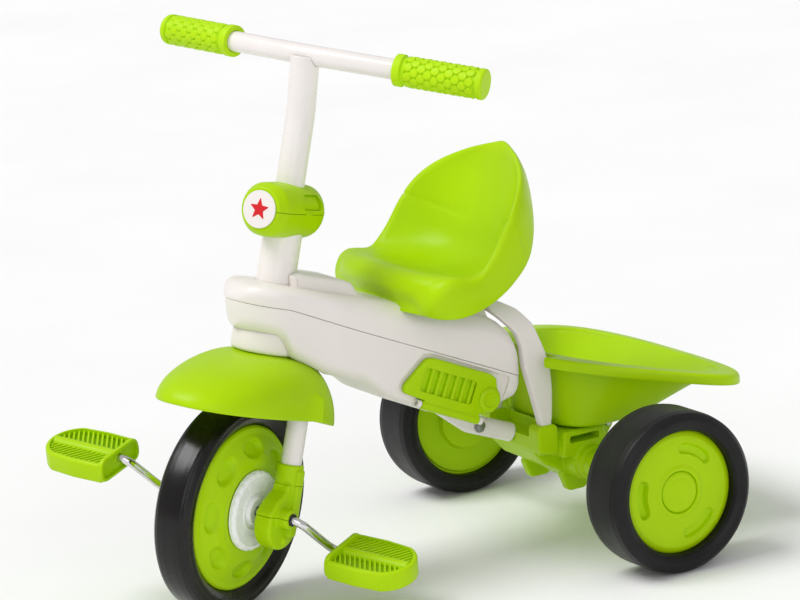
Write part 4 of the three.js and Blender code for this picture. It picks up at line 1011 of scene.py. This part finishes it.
def make_bucket():
    floor, skin = 128, 3
    rings = [tub_ring(*r) for r in ((0, 9, floor), (0, 7, floor), (0.005, 2.6, floor, 0.6), (0.02, 0.8, floor, 0.8))]
    rings += [tub_ring(t, 0, floor) for t in np.linspace(0.06, 0.92, 14)] + [tub_ring(0.955, -0.6, floor)]
    rings += [lip_ring(*r) for r in ((14, -3.4), (4.2, -3.2), (3.2, -4.2), (3, -7), (2.9, -11), (2.2, -12), (1, -12.2),
                                     (0.2, -11.4), (0, -9.5), (0, -6), (0.1, -3.6), (0.7, -1.9), (1.7, -0.7),
                                     (3.2, -0.1), (5, 0), (9, 0))]
    rings += [tub_ring(1, d, floor, dz) for d, dz in ((-4, 0), (-1.2, 0), (0.6, -0.4), (2, -1.4), (2.8, -2.9))]
    floor += skin
    rings += [tub_ring(t, skin, floor) for t in np.linspace(0.95, 0.1, 14)]
    rings += [tub_ring(*r) for r in ((0.04, 4, floor), (0.015, 6.5, floor, 0.3), (0, 11, floor))]
    tub = to_object("tipping_tub", loft(rings), BASE)
    notch = fillet(rect(-71, -110, 71, -33.5), [0, 0, 9, 9], 6)
    boss = fillet(arc(40, 119, 7, 180, 360, 16) + [(49, 129.5), (31, 129.5)], 0.2, 1)
    cut(tub, prism(notch, 100, 300, 0, axis="z"), BASE)
    cut(tub, prism(boss, -37, 37, 1), BASE, "UNION")
    cut(tub, rod((-90, 40, 119), (90, 40, 119), 3.3, 28, 0), BASE)
    finished(tub, "bucket", GREEN, "bucket", 45)


# ---------- seat ----------
SEAT_LINE = [(-213, 306), (-219, 321), (-213, 334), (-198, 337), (-172, 328), (-138, 320), (-108, 320), (-86, 333),
             (-74, 358), (-64, 388), (-54, 418), (-46, 441)]


# The crest of the seat's side and the hem below it, in (y, z), from the front to the top.
SEAT_CREST = [(-195, 300), (-201, 311), (-199, 323), (-192, 331), (-183, 333.5), (-173, 332.5), (-163, 330.5),
              (-154, 330), (-146, 332), (-139, 337), (-132.5, 344), (-126.5, 352), (-120.5, 361), (-114, 370.5),
              (-107, 380), (-100, 389), (-92, 399), (-83, 409), (-73, 419.5), (-62, 431), (-50, 441)]
SEAT_HEM = [(-198, 294), (-200, 292), (-188, 290), (-170, 289.5), (-150, 293), (-129, 301), (-109, 314),
            (-88, 333), (-72, 358), (-57, 392), (-38, 430)]


def along_table(table, v):
    """A smooth curve through a table spread evenly from v = 0 to 1."""
    points = np.array(table, float)
    slope = np.gradient(points, axis=0)
    place = np.clip(v, 0, 1) * (len(points) - 1)
    k = np.minimum(place.astype(int), len(points) - 2)
    f = (place - k)[:, None]
    out = (points[k] * (1 + 2 * f) * (1 - f) ** 2 + slope[k] * f * (1 - f) ** 2
           + points[k + 1] * f * f * (3 - 2 * f) + slope[k + 1] * f * f * (f - 1))
    return out[:, 0], out[:, 1]


def seat_curve():
    """The seat's middle line in (y, z), evenly spaced along its length."""
    line = np.stack(along_table(SEAT_LINE, np.linspace(0, 1, 24 * (len(SEAT_LINE) - 1) + 1)), 1)
    length = np.concatenate([[0], np.cumsum(np.linalg.norm(np.diff(line, axis=0), axis=1))])
    even = np.linspace(0, length[-1], 401)
    return np.stack([np.interp(even, length, line[:, 0]), np.interp(even, length, line[:, 1])], 1)


CURVE = seat_curve()
SLOPE = unit(np.gradient(CURVE, axis=0))
SEAT_HALF, CREASE = 104, 0.72


def seat_sheet(across, v):
    """Points and upward normals of the seat, across from -1 to 1, v from 0 at the front to 1 at the top."""
    grid = np.linspace(0, 1, len(CURVE))
    y, z = np.interp(v, grid, CURVE[:, 0]), np.interp(v, grid, CURVE[:, 1])
    ny, nz = -np.interp(v, grid, SLOPE[:, 1]), np.interp(v, grid, SLOPE[:, 0])
    crown = np.sqrt(np.maximum(1 - (np.maximum(v - 0.6, 0) / 0.402) ** 2.6, 0))
    edge = np.abs(across) ** 2.8
    crest_y, crest_z = along_table(SEAT_CREST, v)
    x = across * SEAT_HALF * crown * (0.95 + 0.05 * smoothstep(v, 0.05, 0.3))
    y = y + (crest_y - y) * edge
    z = z + (crest_z - z) * edge
    return np.stack([x, y, z], 1), np.stack([np.zeros_like(y), ny, nz], 1)


def make_seat():
    square = fillet(rect(-1, -1, 1, 1), 0.5, 16)
    square = np.concatenate([square, square[:1]])
    along = np.concatenate([[0], np.cumsum(np.linalg.norm(np.diff(square, axis=0) * (1, 1.5), axis=1))])
    even = np.linspace(0, along[-1], 260, endpoint=False)
    bound_u, bound_v = np.interp(even, along, square[:, 0]), np.interp(even, along, square[:, 1])

    def sheet(rho, offset=0.0):
        v = np.clip(0.5 + 0.5 * bound_v * rho, 0, 1)
        points, normal = seat_sheet(bound_u * rho, 0.035 + 0.93 * v)
        sink = offset if offset else 1.6 * np.exp(-((v - CREASE) / 0.006) ** 2)[:, None]
        return points - normal * sink, normal

    steps = [0.02] + list(np.linspace(0.06, 0.9, 22)) + [0.94, 0.97, 0.99, 1.0]
    rings = [sheet(rho)[0] for rho in steps]
    edge, normal = sheet(1.0)
    inside = sheet(0.97)[0]
    rise = edge - inside
    out = unit(rise - normal * (rise * normal).sum(1)[:, None])
    rise = unit(rise)
    v = 0.5 + 0.5 * bound_v
    around = [seat_sheet(bound_u, np.clip(0.035 + 0.93 * (v + dv), 0, 1))[1] for dv in (-0.14, -0.07, 0, 0.07, 0.14)]
    hang = unit(sum(around))
    hem_y, hem_z = along_table(SEAT_HEM, 0.035 + 0.93 * v)
    share = np.abs(bound_u) ** 2.2
    top = v > 0.5
    hem_y = np.where(top, -36, -216) * (1 - share) + hem_y * share
    hem_z = np.where(top, 432, 294) * (1 - share) + hem_z * share
    foot = np.stack([edge[:, 0] + out[:, 0] * 6.5, hem_y, hem_z], 1)
    shoulder = edge + rise * 15 + out * 9 - hang * 1.5

    def roll(t, skin=0.0):
        return edge * (1 - t) ** 2 + shoulder * 2 * t * (1 - t) + foot * t * t - out * skin

    down = unit(foot - roll(0.9))
    rings += [roll(t) for t in np.linspace(0.07, 1, 15)]
    rings += [foot + down * 0.9 - out * 0.5, foot + down * 1.1 - out * 1.5, foot + down * 0.5 - out * 2.6]
    rings += [roll(t, 3.2) for t in (0.9, 0.75, 0.6, 0.45)]
    rings.append(edge - out * 1.5 - normal * 4.5)
    rings += [sheet(rho, 3.6)[0] for rho in steps[::-1]]
    piece("bucket_seat", loft(rings), BASE, "seat", GREEN, "seat", 60)


def make_knob():
    outline = fillet([(0.02, 0), (4, 0), (4, 3), (7, 4), (7, 12.5), (5.6, 14), (0.02, 14)],
                     [0, 0.3, 0.6, 1, 1.5, 1, 0], 4)

    def lobes(radius, angle, x):
        return 0, -0.9 * (radius > 5) * (0.5 - 0.5 * np.cos(angle * 6))

    place = BASE @ at(0, -111.7, 297) @ turned(90, "Z")
    piece("star_knob", lathe(dense(outline, 0.9), 96, lobes), place, "knob", NYLON, "seat_knob")


# ---------- finish on the CAD pieces that stay ----------
def dress_frame():
    looks = ((NYLON, "stem_bush head_bush_lower head_bush_upper axle_bush_left axle_bush_right seat_bracket"),
             (PAINT, "head_tube"), (STEEL, "rear_axle bucket_pin footrest_pin_left footrest_pin_right button_spring"))
    for look, names in looks:
        for name in names.split():
            mesh = frame["nodes"][name].data
            mesh.materials.clear()
            mesh.materials.append(look)


# ---------- floor, light and camera ----------
def make_stage():
    n = Nodes("floor")
    n.drive(Base_Color=n.tone(n.noise(3, 2), (1, 1, 1), 0.93, 0.96), Roughness=n.spread(n.noise(20, 3), 0.82, 0.92))
    floor = to_object("floor", ([(-12, -12, 0), (12, -12, 0), (12, 12, 0), (-12, 12, 0)], [(0, 1, 2, 3)]))
    floor.data.materials.append(n.material)
    world = bpy.data.worlds.new("studio")
    world.use_nodes = True
    background = world.node_tree.nodes["Background"].inputs
    background["Color"].default_value, background["Strength"].default_value = (1, 1, 1, 1), 0.5
    bpy.context.scene.world = world
    for name, toward, strength, softness in (("key", (-0.2, -0.6, 1.0), 1.8, 30),
                                             ("fill", (1.0, -0.35, 0.45), 0.55, 50)):
        lamp = bpy.data.lights.new(name, "SUN")
        lamp.energy, lamp.angle = strength, math.radians(softness)
        obj = bpy.data.objects.new(name, lamp)
        bpy.context.scene.collection.objects.link(obj)
        obj.rotation_euler = (-Vector(toward)).to_track_quat("-Z", "Y").to_euler()


def make_camera():
    """The photograph's camera, from a fit of its position, aim, roll and focal length."""
    yaw, pitch, roll = 2.623, -0.231, math.radians(-4.63)
    forward = Vector((math.cos(pitch) * math.cos(yaw), math.cos(pitch) * math.sin(yaw), math.sin(pitch)))
    right = forward.cross(Vector((0, 0, 1))).normalized()
    level_turn = Matrix((right, right.cross(forward), -forward)).transposed()
    data = bpy.data.cameras.new("camera")
    focal_px, width_px, sensor_mm = 3993.81, 800, 36
    data.lens, data.sensor_width = sensor_mm * focal_px / width_px, sensor_mm
    data.clip_end = 100
    camera = bpy.data.objects.new("camera", data)
    bpy.context.scene.collection.objects.link(camera)
    turn = (level_turn @ Matrix.Rotation(roll, 3, "Z")).to_4x4()
    camera.matrix_world = Matrix.Translation(BASE @ Vector((3617.31, -2248.79, 1272.36))) @ turn
    bpy.context.scene.camera = camera


for make in (make_handlebar, make_collar, make_fork, make_fender, make_axle_blocks, make_front_wheel, make_crank,
             make_head, make_body, make_hoop, make_housing, make_rear_wheels, make_bucket, make_seat, make_knob,
             dress_frame, make_stage, make_camera):
    make()
bpy.context.scene.view_settings.view_transform = "Standard"

bpy.context.view_layer.update()
